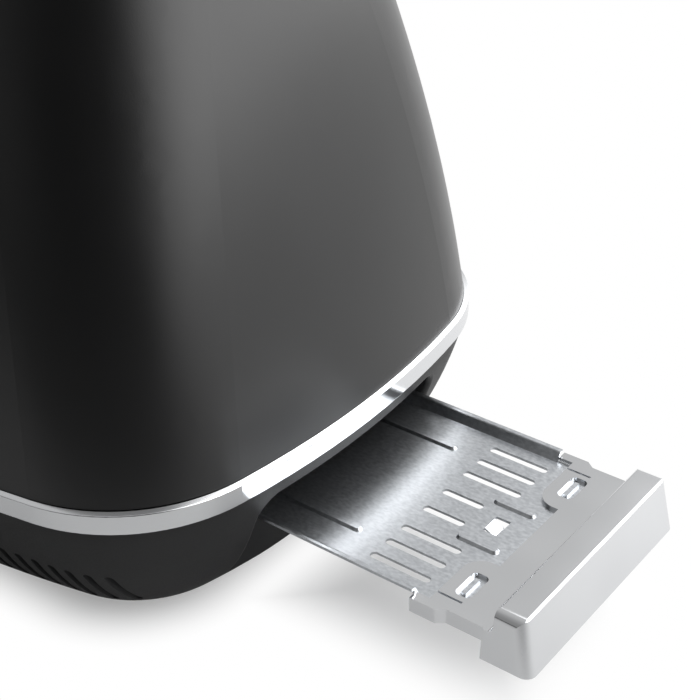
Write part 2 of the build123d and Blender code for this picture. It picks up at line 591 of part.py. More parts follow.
# ---------------------------------------------------------------- tray handle
with BuildPart() as tray_handle:
    # hollow grip with drafted sides, lofted from its foot to its top
    with BuildSketch(Plane.XY.offset(HANDLE_BOTTOM_Z)) as foot:
        with Locations(((HANDLE_REAR_X + HANDLE_FRONT_X) / 2, 0)):
            Rectangle(HANDLE_FRONT_X - HANDLE_REAR_X, 2 * HANDLE_HALF_WIDTH)
        fillet(foot.vertices().group_by(Axis.X)[-1], HANDLE_CORNER)
    with BuildSketch(Plane.XY.offset(HANDLE_TOP_Z)) as crown:
        with Locations(((HANDLE_REAR_X + HANDLE_TOP_FRONT_X) / 2, 0)):
            Rectangle(HANDLE_TOP_FRONT_X - HANDLE_REAR_X, 2 * HANDLE_TOP_HALF_WIDTH)
        fillet(crown.vertices().group_by(Axis.X)[-1], HANDLE_CORNER)
    loft(ruled=True)
    # step behind the grip, down to the carrier plate, with a hollow fillet
    step_z = TRAY_Z + CARRIER_PLATE
    with BuildSketch(Plane.XZ.offset(-BODY_WIDTH / 2)) as step:
        with BuildLine():
            Polyline(
                (HANDLE_REAR_X - 1, HANDLE_TOP_Z + 1),
                (HANDLE_TOP_REAR_X, HANDLE_TOP_Z + 1),
                (HANDLE_TOP_REAR_X, step_z),
                (HANDLE_REAR_X - 1, step_z),
                close=True,
            )
        make_face()
        fillet(step.vertices().sort_by(Axis.X)[-2:].sort_by(Axis.Y)[0], HANDLE_HOLLOW)
    extrude(amount=BODY_WIDTH, mode=Mode.SUBTRACT)
    # rounding along the front of the top, then a larger one along both its ends
    fillet(tray_handle.faces().sort_by(Axis.Z)[-1].edges(), HANDLE_EDGE_ROUND)
    with BuildSketch(Plane.YZ.offset(HANDLE_REAR_X - 1)) as end_view:
        with BuildLine():
            Polyline(
                (-HANDLE_HALF_WIDTH, HANDLE_BOTTOM_Z),
                (-HANDLE_TOP_HALF_WIDTH, HANDLE_TOP_Z),
                (HANDLE_TOP_HALF_WIDTH, HANDLE_TOP_Z),
                (HANDLE_HALF_WIDTH, HANDLE_BOTTOM_Z),
                close=True,
            )
        make_face()
        fillet(end_view.vertices().group_by(Axis.Y)[-1], HANDLE_END_ROUND)
    extrude(amount=HANDLE_FRONT_X - HANDLE_REAR_X + 2, mode=Mode.INTERSECT)
    # hollow underside
    with BuildSketch(Plane.XY.offset(HANDLE_BOTTOM_Z)):
        with Locations(((HANDLE_REAR_X + HANDLE_FRONT_X) / 2, 0)):
            Rectangle(
                HANDLE_FRONT_X - HANDLE_REAR_X - 2 * HANDLE_WALL,
                2 * (HANDLE_HALF_WIDTH - HANDLE_WALL) - 1,
            )
    extrude(amount=TRAY_Z - SHEET - 1.2 - HANDLE_BOTTOM_Z, mode=Mode.SUBTRACT)
    # the tray's front edge sits in a slot in the grip's rear wall
    block(
        (HANDLE_REAR_X - 1, TRAY_FRONT_X + 0.1),
        (-HANDLE_TOP_HALF_WIDTH + SKIRT_WALL, HANDLE_TOP_HALF_WIDTH - SKIRT_WALL),
        (TRAY_Z - SHEET, TRAY_Z),
        Mode.SUBTRACT,
    )
    # carrier plate over the front of the tray, with a tongue and a side arm at each end
    with BuildSketch(Plane.XY.offset(TRAY_Z)) as carrier:
        with Locations(((CARRIER_REAR_X + HANDLE_TOP_REAR_X) / 2, 0)):
            Rectangle(HANDLE_TOP_REAR_X - CARRIER_REAR_X, 2 * HANDLE_TOP_HALF_WIDTH)
        tongue_width = HANDLE_TOP_HALF_WIDTH - TONGUE_INNER_Y
        for side in (-1, 1):
            tongue_y = side * (TONGUE_INNER_Y + tongue_width / 2)
            with Locations(((TONGUE_REAR_X + CARRIER_REAR_X) / 2, tongue_y)):
                Rectangle(CARRIER_REAR_X - TONGUE_REAR_X, tongue_width)
        tongue_ends = carrier.vertices().group_by(Axis.X)[0]
        fillet([vertex for vertex in tongue_ends if abs(vertex.Y) < HANDLE_TOP_HALF_WIDTH - 1], TONGUE_CORNER)
    extrude(amount=CARRIER_PLATE)
    for side in (-1, 1):
        outer_y = side * HANDLE_TOP_HALF_WIDTH
        block(
            (TRAY_WALL_END_X, HANDLE_REAR_X + 1),
            (outer_y, side * (HANDLE_TOP_HALF_WIDTH - SKIRT_WALL)),
            (step_z - SKIRT_DEPTH, step_z),
        )
        # snap pod that grips the tray's edge
        with BuildSketch(Plane.XY.offset(step_z - SKIRT_DEPTH)):
            with BuildLine():
                Polyline(
                    (TRAY_WALL_END_X, outer_y),
                    (TRAY_WALL_END_X, outer_y + side * POD_STEP),
                    (TRAY_WALL_END_X + POD_LENGTH, outer_y + side * POD_STEP),
                    (TRAY_WALL_END_X + POD_LENGTH + 2.4, outer_y),
                    close=True,
                )
            make_face()
        extrude(amount=SKIRT_DEPTH)
        block(
            (TONGUE_REAR_X - 1, CARRIER_REAR_X),
            (side * SLIT_Y, side * (SLIT_Y + SLIT_WIDTH)),
            (TRAY_Z, step_z + 1),
            Mode.SUBTRACT,
        )
    # windows where the snap hooks show
    with BuildSketch(Plane.XY.offset(TRAY_Z - 0.01)):
        window_y = WINDOW_Y + WINDOW_LENGTH / 2
        with Locations([(WINDOW_X + WINDOW_DEPTH / 2, side * window_y) for side in (-1, 1)]):
            RectangleRounded(WINDOW_DEPTH, WINDOW_LENGTH, 1.6)
    extrude(amount=CARRIER_PLATE + 0.1, mode=Mode.SUBTRACT)
write(tray_handle, "tray_handle")


# ---------------------------------------------------------------- chassis
def tray_rail(side):
    """A channel folded from sheet that hangs under the chassis plate and holds one edge of the tray."""
    web_y = TRAY_HALF_WIDTH + TRAY_HEM + 2.2
    with BuildPart() as rail:
        with BuildSketch(Plane.YZ.offset(RAIL_REAR_X)):
            with BuildLine():
                FilletPolyline(
                    (side * (web_y - 6), RAIL_Z - SHEET / 2),
                    (side * web_y, RAIL_Z - SHEET / 2),
                    (side * web_y, PLATE_Z - SHEET / 2),
                    (side * (web_y - 4), PLATE_Z - SHEET / 2),
                    radius=0.8,
                )
            trace(line_width=SHEET)
        extrude(amount=RAIL_FRONT_X - RAIL_REAR_X)
    return rail


for side, label in ((-1, "front_tray_rail"), (1, "rear_tray_rail")):
    write(tray_rail(side), label)

with BuildPart() as chassis_plate:
    with BuildSketch(Plane.XY.offset(PLATE_Z)) as blank:
        Rectangle(2 * PLATE_HALF_LENGTH, 2 * PLATE_HALF_WIDTH)
        chamfer(blank.vertices(), 16)
        # crumb window under each bread slot
        with Locations((0, -SLOT_Y / 1.4), (0, SLOT_Y / 1.4)):
            RectangleRounded(SLOT_LENGTH - 8, SLOT_WIDTH - 2, 3, mode=Mode.SUBTRACT)
        with Locations(BOSS_POINTS):
            Circle(1.7, mode=Mode.SUBTRACT)
    extrude(amount=PLATE_THICKNESS)
    # upright tabs that carry the control board
    for side in (-1, 1):
        block(
            (BOARD_FRONT_X + BOARD_SHEET, BOARD_FRONT_X + BOARD_SHEET + PLATE_THICKNESS),
            (side * 24, side * 34),
            (PLATE_Z, PLATE_TOP_Z + 22),
        )
write(chassis_plate, "chassis_plate")


def end_frame(side):
    """A folded steel end frame: a web with side flanges, slots for the racks and slots for the guides."""
    web_x = side * FRAME_X
    with BuildPart() as frame:
        with BuildSketch(Plane.XY.offset(PLATE_TOP_Z)):
            with BuildLine():
                FilletPolyline(
                    (web_x + side * FRAME_FLANGE, -FRAME_HALF_WIDTH),
                    (web_x + side * SHEET / 2, -FRAME_HALF_WIDTH),
                    (web_x + side * SHEET / 2, FRAME_HALF_WIDTH),
                    (web_x + side * FRAME_FLANGE, FRAME_HALF_WIDTH),
                    radius=1.0,
                )
            trace(line_width=SHEET)
        extrude(amount=FRAME_TOP_Z - PLATE_TOP_Z)
        with BuildSketch(Plane.YZ.offset(web_x)):
            rack_low_z = RACK_Z - LIFT_TRAVEL - 8
            with Locations([(y, (rack_low_z + RACK_Z + 4) / 2) for y in (-SLOT_Y, SLOT_Y)]):
                SlotOverall(RACK_Z + 4 - rack_low_z, 5.6, rotation=90)
            # guide wires pass through and close in by GUIDE_TRAVEL
            for slot_side in (-1, 1):
                for way in (-1, 1):
                    rest_y = slot_side * SLOT_Y + way * GUIDE_OFFSET
                    middle_y = rest_y - way * GUIDE_TRAVEL / 2
                    with Locations((middle_y, GUIDE_BOTTOM_Z), (middle_y, GUIDE_TOP_Z)):
                        SlotOverall(GUIDE_TRAVEL + 2 * GUIDE_WIRE + 0.8, 2 * GUIDE_WIRE + 0.5)
        extrude(amount=side * SHEET, mode=Mode.SUBTRACT)
    return frame


write(end_frame(1), "tray_end_frame")

with BuildPart() as lever_end_frame:
    add(end_frame(-1).part)
    # shelf that holds the tops of the guide rods and of the lift spring
    with BuildSketch(Plane.XY.offset(ROD_TOP_Z)) as shelf:
        with Locations((-FRAME_X - SHEET / 2 - 9, 0)):
            Rectangle(18 + SHEET, 2 * CARRIAGE_HALF_WIDTH)
        fillet(shelf.vertices().group_by(Axis.X)[0], 4)
    extrude(amount=1.2)
write(lever_end_frame, "lever_end_frame")


def side_panel(y, thickness, bottom_z, top_z, half_length, tab_height=0.0):
    """An upright sheet between the end frames, with tabs that reach them at top and bottom."""
    with BuildPart() as panel:
        with BuildSketch(Plane.XZ.offset(-y)):
            with Locations((0, (bottom_z + top_z) / 2)):
                Rectangle(2 * half_length, top_z - bottom_z)
            if tab_height:
                with Locations((0, bottom_z + tab_height / 2), (0, top_z - tab_height / 2)):
                    Rectangle(2 * FRAME_X, tab_height)
        extrude(amount=thickness / 2, both=True)
    return panel


for side, name in ((-1, "front"), (1, "rear")):
    write(side_panel(side * REFLECTOR_Y, SHEET, PLATE_TOP_Z, FRAME_TOP_Z - 2, FRAME_X), f"{name}_reflector")


def winding(y):
    """Flat heating ribbon wound round a mica board, one closed turn above another."""
    reach = BOARD_THICKNESS / 2 + RIBBON_THICKNESS
    with BuildPart() as coil:
        for turn in range(RIBBON_TURNS):
            turn_z = BOARD_BOTTOM_Z + RIBBON_MARGIN + turn * RIBBON_PITCH
            with BuildSketch(Plane.XY.offset(turn_z)):
                with Locations((0, y)):
                    Rectangle(2 * (BOARD_HALF_LENGTH + RIBBON_THICKNESS), 2 * reach)
                    Rectangle(2 * BOARD_HALF_LENGTH, BOARD_THICKNESS, mode=Mode.SUBTRACT)
            extrude(amount=RIBBON_HEIGHT)
    return coil


for y, name in ((-BOARD_Y, "front"), (0, "middle"), (BOARD_Y, "rear")):
    board = side_panel(y, BOARD_THICKNESS, BOARD_BOTTOM_Z, BOARD_TOP_Z, BOARD_HALF_LENGTH, tab_height=8)
    write(board, f"{name}_mica_board")
    write(winding(y), f"{name}_heating_wire")


def bread_guide(y):
    """A wire cage that centres the bread: two rails carried by the end frames, joined by upright bars."""
    with BuildPart() as guide:
        with BuildSketch(Plane.YZ.offset(-FRAME_X - 2)):
            with Locations((y, GUIDE_BOTTOM_Z), (y, GUIDE_TOP_Z)):
                Circle(GUIDE_WIRE)
        extrude(amount=2 * FRAME_X + 4)
        first_x = -(GUIDE_BARS - 1) / 2 * GUIDE_BAR_PITCH
        with BuildSketch(Plane.XY.offset(GUIDE_BOTTOM_Z)):
            with Locations([(first_x + bar * GUIDE_BAR_PITCH, y) for bar in range(GUIDE_BARS)]):
                Circle(GUIDE_WIRE * 0.85)
        extrude(amount=GUIDE_TOP_Z - GUIDE_BOTTOM_Z)
    return guide


for side, name in ((-1, "front"), (1, "rear")):
    write(bread_guide(side * (SLOT_Y + GUIDE_OFFSET)), f"{name}_outer_guide")
    write(bread_guide(side * (SLOT_Y - GUIDE_OFFSET)), f"{name}_inner_guide")


# ---------------------------------------------------------------- lift mechanism
def bread_rack(y):
    """The folded rest that lifts the bread, with toothed edges and a tab through each end frame."""
    with BuildPart() as rack:
        with BuildSketch(Plane.YZ.offset(-RACK_HALF_LENGTH)):
            with BuildLine():
                FilletPolyline(
                    (y - RACK_HALF_WIDTH, RACK_Z - 5),
                    (y - RACK_HALF_WIDTH, RACK_Z),
                    (y + RACK_HALF_WIDTH, RACK_Z),
                    (y + RACK_HALF_WIDTH, RACK_Z - 5),
                    radius=1.0,
                )
            trace(line_width=RACK_SHEET)
        extrude(amount=2 * RACK_HALF_LENGTH)
        with BuildSketch(Plane.XY.offset(RACK_Z + RACK_SHEET)):
            with Locations((0, y)):
                with GridLocations(14, 0, 9, 1):
                    SlotOverall(2 * RACK_HALF_WIDTH - 5, 5, rotation=90)
        extrude(amount=-2 * RACK_SHEET, mode=Mode.SUBTRACT)
        tab_top_z = RACK_Z + RACK_SHEET / 2
        block(
            (CARRIAGE_X + CARRIAGE_SHEET, -RACK_HALF_LENGTH + 1), (y - 2, y + 2), (tab_top_z - 6, tab_top_z)
        )
        block((RACK_HALF_LENGTH - 1, FRAME_X + 3), (y - 2, y + 2), (tab_top_z - 6, tab_top_z))
    return rack


for side, name in ((-1, "front"), (1, "rear")):
    write(bread_rack(side * SLOT_Y), f"{name}_bread_rack")

with BuildPart() as carriage:
    # upright plate with a neck for the lever arm
    with BuildSketch(Plane.YZ.offset(CARRIAGE_X)) as face:
        with BuildLine():
            neck = 10.0
            neck_top_z = ARM_Z + ARM_HEIGHT / 2 + 2
            Polyline(
                (-CARRIAGE_HALF_WIDTH, CARRIAGE_BOTTOM_Z),
                (CARRIAGE_HALF_WIDTH, CARRIAGE_BOTTOM_Z),
                (CARRIAGE_HALF_WIDTH, CARRIAGE_TOP_Z),
                (neck, CARRIAGE_TOP_Z),
                (neck, neck_top_z),
                (-neck, neck_top_z),
                (-neck, CARRIAGE_TOP_Z),
                (-CARRIAGE_HALF_WIDTH, CARRIAGE_TOP_Z),
                close=True,
            )
        make_face()
        fillet(face.vertices(), 2)
    extrude(amount=CARRIAGE_SHEET)
    # lever arm out to the knob
    block(
        (ARM_END_X, CARRIAGE_X + 0.2),
        (-ARM_THICKNESS / 2, ARM_THICKNESS / 2),
        (ARM_Z - ARM_HEIGHT / 2, ARM_Z + ARM_HEIGHT / 2),
    )
    # bushes on the guide rods
    bush_bottom_z = CARRIAGE_TOP_Z - BUSH_HEIGHT
    with BuildSketch(Plane.XY.offset(bush_bottom_z)):
        with Locations((ROD_X, -ROD_Y), (ROD_X, ROD_Y)):
            Circle(BUSH_RADIUS)
        with Locations([((ROD_X + CARRIAGE_X) / 2 + 1, side * ROD_Y) for side in (-1, 1)]):
            Rectangle(CARRIAGE_X - ROD_X, 3)
    extrude(amount=BUSH_HEIGHT)
    with BuildSketch(Plane.XY.offset(bush_bottom_z)):
        with Locations((ROD_X, -ROD_Y), (ROD_X, ROD_Y)):
            Circle(ROD_RADIUS + BUSH_CLEARANCE)
    extrude(amount=BUSH_HEIGHT, mode=Mode.SUBTRACT)
    # hook plate under the lift spring and foot for the latch keeper
    hook_z = CARRIAGE_TOP_Z - 4
    block((ROD_X - 4, CARRIAGE_X + 0.2), (SPRING_Y - 4, SPRING_Y + 4), (hook_z, hook_z + 2))
    block((MAGNET_X - 6, CARRIAGE_X + 0.2), (-8, 8), (CARRIAGE_BOTTOM_Z, CARRIAGE_BOTTOM_Z + 1.2))
write(carriage, "carriage")

with BuildPart() as latch_keeper:
    with BuildSketch(Plane.XY.offset(CARRIAGE_BOTTOM_Z)):
        with Locations((MAGNET_X, 0)):
            Rectangle(12, 15)
    extrude(amount=-2)
    chamfer(latch_keeper.edges().filter_by(Axis.Z), 1.5)
write(latch_keeper, "latch_keeper")

with BuildPart() as guide_rods:
    with BuildSketch(Plane.XY.offset(PLATE_TOP_Z)):
        with Locations((ROD_X, -ROD_Y), (ROD_X, ROD_Y)):
            Circle(ROD_RADIUS)
    extrude(amount=ROD_TOP_Z - PLATE_TOP_Z)
write(guide_rods, "guide_rods")

with BuildPart() as lift_spring:
    spring_bottom_z = CARRIAGE_TOP_Z - 2 + SPRING_WIRE
    spring_height = ROD_TOP_Z - SPRING_WIRE - spring_bottom_z
    with BuildLine() as coil_line:
        Helix(SPRING_PITCH, spring_height, SPRING_RADIUS, center=(ROD_X, SPRING_Y, spring_bottom_z))
    start = coil_line.line @ 0
    with BuildSketch(Plane(origin=start, z_dir=coil_line.line % 0)):
        RegularPolygon(SPRING_WIRE, 6)
    sweep(path=coil_line.line, is_frenet=True)
write(lift_spring, "lift_spring")

# holding magnet under the keeper
magnet_top_z = CARRIAGE_BOTTOM_Z - 2 - LIFT_TRAVEL - SEAT_GAP
with BuildPart() as magnet_core:
    block((MAGNET_X - 6, MAGNET_X + 6), (-8, 8), (PLATE_TOP_Z + 2, PLATE_TOP_Z + 3.6))
    block((MAGNET_X - 6, MAGNET_X + 6), (-8, -6.8), (PLATE_TOP_Z + 3.6, magnet_top_z))
    block((MAGNET_X - 6, MAGNET_X + 6), (6.8, 8), (PLATE_TOP_Z + 3.6, magnet_top_z))
    with BuildSketch(Plane.XY.offset(PLATE_TOP_Z + 3.6)):
        with Locations((MAGNET_X, 0)):
            Circle(2.6)
    extrude(amount=magnet_top_z - PLATE_TOP_Z - 3.6)
write(magnet_core, "magnet_core")

with BuildPart() as magnet_coil:
    with BuildSketch(Plane.XY.offset(PLATE_TOP_Z + 3.8)):
        with Locations((MAGNET_X, 0)):
            Circle(5.6)
            Circle(2.7, mode=Mode.SUBTRACT)
    extrude(amount=magnet_top_z - PLATE_TOP_Z - 5)
write(magnet_coil, "magnet_coil")

with BuildPart() as magnet_bracket:
    with BuildSketch(Plane.XY.offset(PLATE_TOP_Z)) as foot:
        with Locations((MAGNET_X, 0)):
            Rectangle(13, 26)
        chamfer(foot.vertices(), 2)
        with Locations((MAGNET_X, -10.6), (MAGNET_X, 10.6)):
            Circle(1.2, mode=Mode.SUBTRACT)
    extrude(amount=2)
write(magnet_bracket, "magnet_bracket")

# ---------------------------------------------------------------- controls
with BuildPart() as lever_knob:
    with BuildSketch(Plane.YZ.offset(KNOB_INNER_X)):
        with Locations((0, ARM_Z)):
            RectangleRounded(KNOB_WIDTH * 0.72, KNOB_HEIGHT * 0.8, 4)
    with BuildSketch(Plane.YZ.offset(KNOB_OUTER_X)):
        with Locations((0, ARM_Z)):
            RectangleRounded(KNOB_WIDTH, KNOB_HEIGHT, 6)
    loft()
    fillet(lever_knob.faces().sort_by(Axis.X)[0].edges(), 3)
    block(
        (ARM_END_X - 0.1, KNOB_INNER_X),
        (-ARM_THICKNESS / 2 - 0.05, ARM_THICKNESS / 2 + 0.05),
        (ARM_Z - ARM_HEIGHT / 2 - 0.05, ARM_Z + ARM_HEIGHT / 2 + 0.05),
        Mode.SUBTRACT,
    )
write(lever_knob, "lever_knob")

with BuildPart() as lever_slot_trim:
    add(shell_skin(-0.8, 0.0))
    block(
        (-BODY_LENGTH, -BODY_LENGTH / 3),
        (-6.5, 6.5),
        (slot_low_z - 1.6, slot_high_z + 1.6),
        Mode.INTERSECT,
    )
    block((-BODY_LENGTH, 0), (-2.4, 2.4), (slot_low_z + 0.8, slot_high_z - 0.8), Mode.SUBTRACT)
write(lever_slot_trim, "lever_slot_trim")

with BuildPart() as control_panel:
    add(shell_skin(-PANEL_THICKNESS, 0.0))
    with BuildSketch(Plane.YZ.offset(-BODY_LENGTH)):
        with Locations((0, (PANEL_BOTTOM_Z + PANEL_TOP_Z) / 2)):
            RectangleRounded(2 * PANEL_HALF_WIDTH, PANEL_TOP_Z - PANEL_BOTTOM_Z, 8)
    extrude(amount=BODY_LENGTH / 1.5, mode=Mode.INTERSECT)
    with BuildSketch(Plane.YZ.offset(-BODY_LENGTH)):
        with Locations((0, DIAL_Z)):
            Circle(BEZEL_RADIUS)
        with Locations([(side * BUTTON_Y, z) for side in (-1, 1) for z in BUTTON_ZS]):
            Circle(BUTTON_RADIUS + 1.2)
    extrude(amount=BODY_LENGTH / 1.5, mode=Mode.SUBTRACT)
write(control_panel, "control_panel")

with BuildPart() as dial_bezel:
    with BuildSketch(Plane.YZ.offset(BEZEL_FRONT_X)):
        with Locations((0, DIAL_Z)):
            Circle(BEZEL_RADIUS - 0.1)
            Circle(DIAL_RADIUS + 0.4, mode=Mode.SUBTRACT)
    extrude(amount=BEZEL_REAR_X - BEZEL_FRONT_X)
    chamfer(dial_bezel.edges().group_by(Axis.X)[0], 0.6)
write(dial_bezel, "dial_bezel")

with BuildPart() as browning_dial:
    with BuildSketch(Plane.YZ.offset(DIAL_REAR_X)):
        with Locations((0, DIAL_Z)):
            Circle(DIAL_RADIUS)
    extrude(amount=-6)
    with BuildSketch(Plane.YZ.offset(DIAL_REAR_X - 6)):
        with Locations((0, DIAL_Z)):
            Circle(DIAL_RADIUS - 2.2)
            with PolarLocations(DIAL_RADIUS - 2.0, 24):
                Circle(0.9, mode=Mode.SUBTRACT)
    extrude(amount=DIAL_FRONT_X - DIAL_REAR_X + 6)
    # pointer ridge and shaft bore
    with BuildSketch(Plane.YZ.offset(DIAL_FRONT_X)):
        with Locations((0, DIAL_Z + DIAL_RADIUS / 2)):
            SlotOverall(8, 1.4, rotation=90)
    extrude(amount=1.0, mode=Mode.SUBTRACT)
    with BuildSketch(Plane.YZ.offset(DIAL_REAR_X)):
        with Locations((0, DIAL_Z)):
            Circle(SHAFT_RADIUS + 0.05)
    extrude(amount=-9, mode=Mode.SUBTRACT)
write(browning_dial, "browning_dial")

switch_face_x = BOARD_FRONT_X - 7
with BuildPart() as dial_shaft:
    with BuildSketch(Plane.YZ.offset(DIAL_REAR_X - 9)):
        with Locations((0, DIAL_Z)):
            Circle(SHAFT_RADIUS)
    extrude(amount=switch_face_x - 2 - (DIAL_REAR_X - 9))
write(dial_shaft, "dial_shaft")

with BuildPart() as browning_control:
    with BuildSketch(Plane.YZ.offset(BOARD_FRONT_X)):
        with Locations((0, DIAL_Z)):
            Circle(8.5)
    extrude(amount=switch_face_x - BOARD_FRONT_X)
    with BuildSketch(Plane.YZ.offset(switch_face_x)):
        with Locations((0, DIAL_Z)):
            Circle(4.5)
            Circle(SHAFT_RADIUS + 0.1, mode=Mode.SUBTRACT)
    extrude(amount=-6)
write(browning_control, "browning_control")


def button(y, z):
    """A push button: a domed cap on a stem that reaches back to its switch."""
    with BuildPart() as cap:
        with BuildSketch(Plane.YZ.offset(BUTTON_FRONT_X)):
            with Locations((y, z)):
                Circle(BUTTON_RADIUS)
        extrude(amount=14)
        fillet(cap.faces().sort_by(Axis.X)[0].edges(), 1.2)
        with BuildSketch(Plane.YZ.offset(BUTTON_FRONT_X + 14)):
            with Locations((y, z)):
                Circle(2.4)
        extrude(amount=switch_face_x - BUTTON_TRAVEL - 0.5 - (BUTTON_FRONT_X + 14))
    return cap


for y, z, name in (
    (-BUTTON_Y, BUTTON_ZS[1], "cancel"),
    (BUTTON_Y, BUTTON_ZS[1], "reheat"),
    (-BUTTON_Y, BUTTON_ZS[0], "defrost"),
    (BUTTON_Y, BUTTON_ZS[0], "one_side"),
):
    write(button(y, z), f"{name}_button")

BUTTON_POINTS = [(side * BUTTON_Y, z) for side in (-1, 1) for z in BUTTON_ZS]

with BuildPart() as button_rings:
    with BuildSketch(Plane.YZ.offset(BUTTON_FRONT_X + 2.2)):
        with Locations(BUTTON_POINTS):
            Circle(BUTTON_RADIUS + 1.1)
            Circle(BUTTON_RADIUS + 0.2, mode=Mode.SUBTRACT)
    extrude(amount=9)
write(button_rings, "button_rings")

with BuildPart() as button_switches:
    with BuildSketch(Plane.YZ.offset(BOARD_FRONT_X)):
        with Locations(BUTTON_POINTS):
            RectangleRounded(11, 11, 1)
    extrude(amount=switch_face_x - BOARD_FRONT_X)
write(button_switches, "button_switches")

# ---------------------------------------------------------------- electrics in the control bay
with BuildPart() as control_board:
    with BuildSketch(Plane.YZ.offset(BOARD_FRONT_X)) as outline:
        with BuildLine():
            Polyline(
                (-BOARD_HALF_WIDTH, PLATE_TOP_Z + SEAT_GAP),
                (BOARD_HALF_WIDTH, PLATE_TOP_Z + SEAT_GAP),
                (BOARD_HALF_WIDTH, PANEL_TOP_Z),
                (-BOARD_NOTCH_Y, PANEL_TOP_Z),
                (-BOARD_NOTCH_Y, BOARD_SHOULDER_Z),
                (-BOARD_HALF_WIDTH, BOARD_SHOULDER_Z),
                close=True,
            )
        make_face()
        fillet(outline.vertices(), 2)
    extrude(amount=BOARD_SHEET)
write(control_board, "control_board")

with BuildPart() as board_components:
    # relay, transformer and a pair of capacitors
    relay_z = PANEL_TOP_Z + 5
    transformer_z = BOARD_SHOULDER_Z - 28
    block((BOARD_FRONT_X - 11, BOARD_FRONT_X), (-42, -24), (relay_z, relay_z + 16))
    block((BOARD_FRONT_X - 14, BOARD_FRONT_X), (-40, -20), (transformer_z, transformer_z + 20))
    with BuildSketch(Plane.YZ.offset(BOARD_FRONT_X)):
        with Locations((-14, relay_z + 6), (-14, transformer_z - 2)):
            Circle(4)
    extrude(amount=-12)
write(board_components, "board_components")

with BuildPart() as heat_shield:
    with BuildSketch(Plane.YZ.offset(BOARD_FRONT_X + 5.2)) as screen:
        with BuildLine():
            Polyline(
                (-SHIELD_HALF_WIDTH, PLATE_TOP_Z),
                (SHIELD_HALF_WIDTH, PLATE_TOP_Z),
                (SHIELD_HALF_WIDTH, SHIELD_TOP_Z),
                (SHIELD_SLOT, SHIELD_TOP_Z),
                (SHIELD_SLOT, PANEL_TOP_Z - 4),
                (-SHIELD_SLOT, PANEL_TOP_Z - 4),
                (-SHIELD_SLOT, SHIELD_TOP_Z),
                (-SHIELD_HALF_WIDTH, SHIELD_TOP_Z),
                close=True,
            )
        make_face()
    extrude(amount=SHEET)
write(heat_shield, "heat_shield")

with BuildPart() as mains_contacts:
    block((MAGNET_X - 5, MAGNET_X + 6), (24, 36), (PLATE_TOP_Z, PLATE_TOP_Z + 14))
    for x in (MAGNET_X - 3, MAGNET_X + 2):
        block((x, x + 0.8), (26, 34), (PLATE_TOP_Z + 14, PLATE_TOP_Z + 22))
write(mains_contacts, "mains_contacts")

with BuildPart() as terminal_block:
    with BuildSketch(Plane.XY.offset(PLATE_TOP_Z)):
        with Locations((-PLATE_HALF_LENGTH + 6.5, 0)):
            Rectangle(9, 36)
    extrude(amount=10)
    with BuildSketch(Plane.XY.offset(PLATE_TOP_Z + 10)):
        with Locations((-PLATE_HALF_LENGTH + 6.5, 0)):
            with GridLocations(0, 12, 1, 3):
                Circle(2.4)
    extrude(amount=-5, mode=Mode.SUBTRACT)
write(terminal_block, "terminal_block")
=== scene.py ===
"""A two-slot pop-up toaster, its crumb tray drawn out: finishes, small marks, studio and camera.

Lengths are in metres. The tray comes out towards +X, the controls face -X, and +Z is up.
"""
import json
from math import cos, pi, radians, sin

import bmesh
import bpy
from mathutils import Matrix, Vector


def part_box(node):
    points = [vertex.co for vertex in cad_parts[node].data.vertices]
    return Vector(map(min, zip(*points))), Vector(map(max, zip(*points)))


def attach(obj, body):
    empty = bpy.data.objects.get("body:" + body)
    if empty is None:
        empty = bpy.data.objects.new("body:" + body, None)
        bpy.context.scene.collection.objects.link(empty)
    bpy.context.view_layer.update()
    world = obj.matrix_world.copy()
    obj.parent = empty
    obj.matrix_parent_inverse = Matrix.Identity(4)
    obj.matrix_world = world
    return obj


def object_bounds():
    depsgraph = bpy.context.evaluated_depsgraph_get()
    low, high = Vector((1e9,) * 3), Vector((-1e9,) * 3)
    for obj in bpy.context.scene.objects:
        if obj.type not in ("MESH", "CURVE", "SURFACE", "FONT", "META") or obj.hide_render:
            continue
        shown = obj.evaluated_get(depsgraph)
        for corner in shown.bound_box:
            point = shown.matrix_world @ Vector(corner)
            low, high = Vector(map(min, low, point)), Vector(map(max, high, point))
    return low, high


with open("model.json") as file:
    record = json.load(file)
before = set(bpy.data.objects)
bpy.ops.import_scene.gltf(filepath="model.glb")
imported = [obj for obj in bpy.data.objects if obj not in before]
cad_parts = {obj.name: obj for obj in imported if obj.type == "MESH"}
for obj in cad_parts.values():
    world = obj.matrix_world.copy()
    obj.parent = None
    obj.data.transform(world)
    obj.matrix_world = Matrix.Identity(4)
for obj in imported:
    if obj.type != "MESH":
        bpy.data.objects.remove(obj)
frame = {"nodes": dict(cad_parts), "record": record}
cad_low, cad_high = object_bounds()
nodes = frame["nodes"]

UP = Vector((0, 0, 1))
INTO_PANEL = (1, 0, 0)
WHITE = (1, 1, 1, 1)


# ---------------------------------------------------------------- objects
def add_object(name, data):
    """Adds an object to the scene."""
    new = bpy.data.objects.new(name, data)
    bpy.context.scene.collection.objects.link(new)
    return new


def into_mesh(helper):
    """The plain mesh that an object and its modifiers come to; the object itself is removed."""
    evaluated = helper.evaluated_get(bpy.context.evaluated_depsgraph_get())
    mesh = bpy.data.meshes.new_from_object(evaluated)
    bpy.data.objects.remove(helper)
    return mesh


def turned(right, up, back):
    """The rotation that lays X, Y and Z along three directions."""
    return Matrix((right, up, back)).transposed().to_4x4()


# ---------------------------------------------------------------- node trees
FLOAT = "NodeSocketFloat"
VECTOR = "NodeSocketVector"
GEOMETRY = "NodeSocketGeometry"


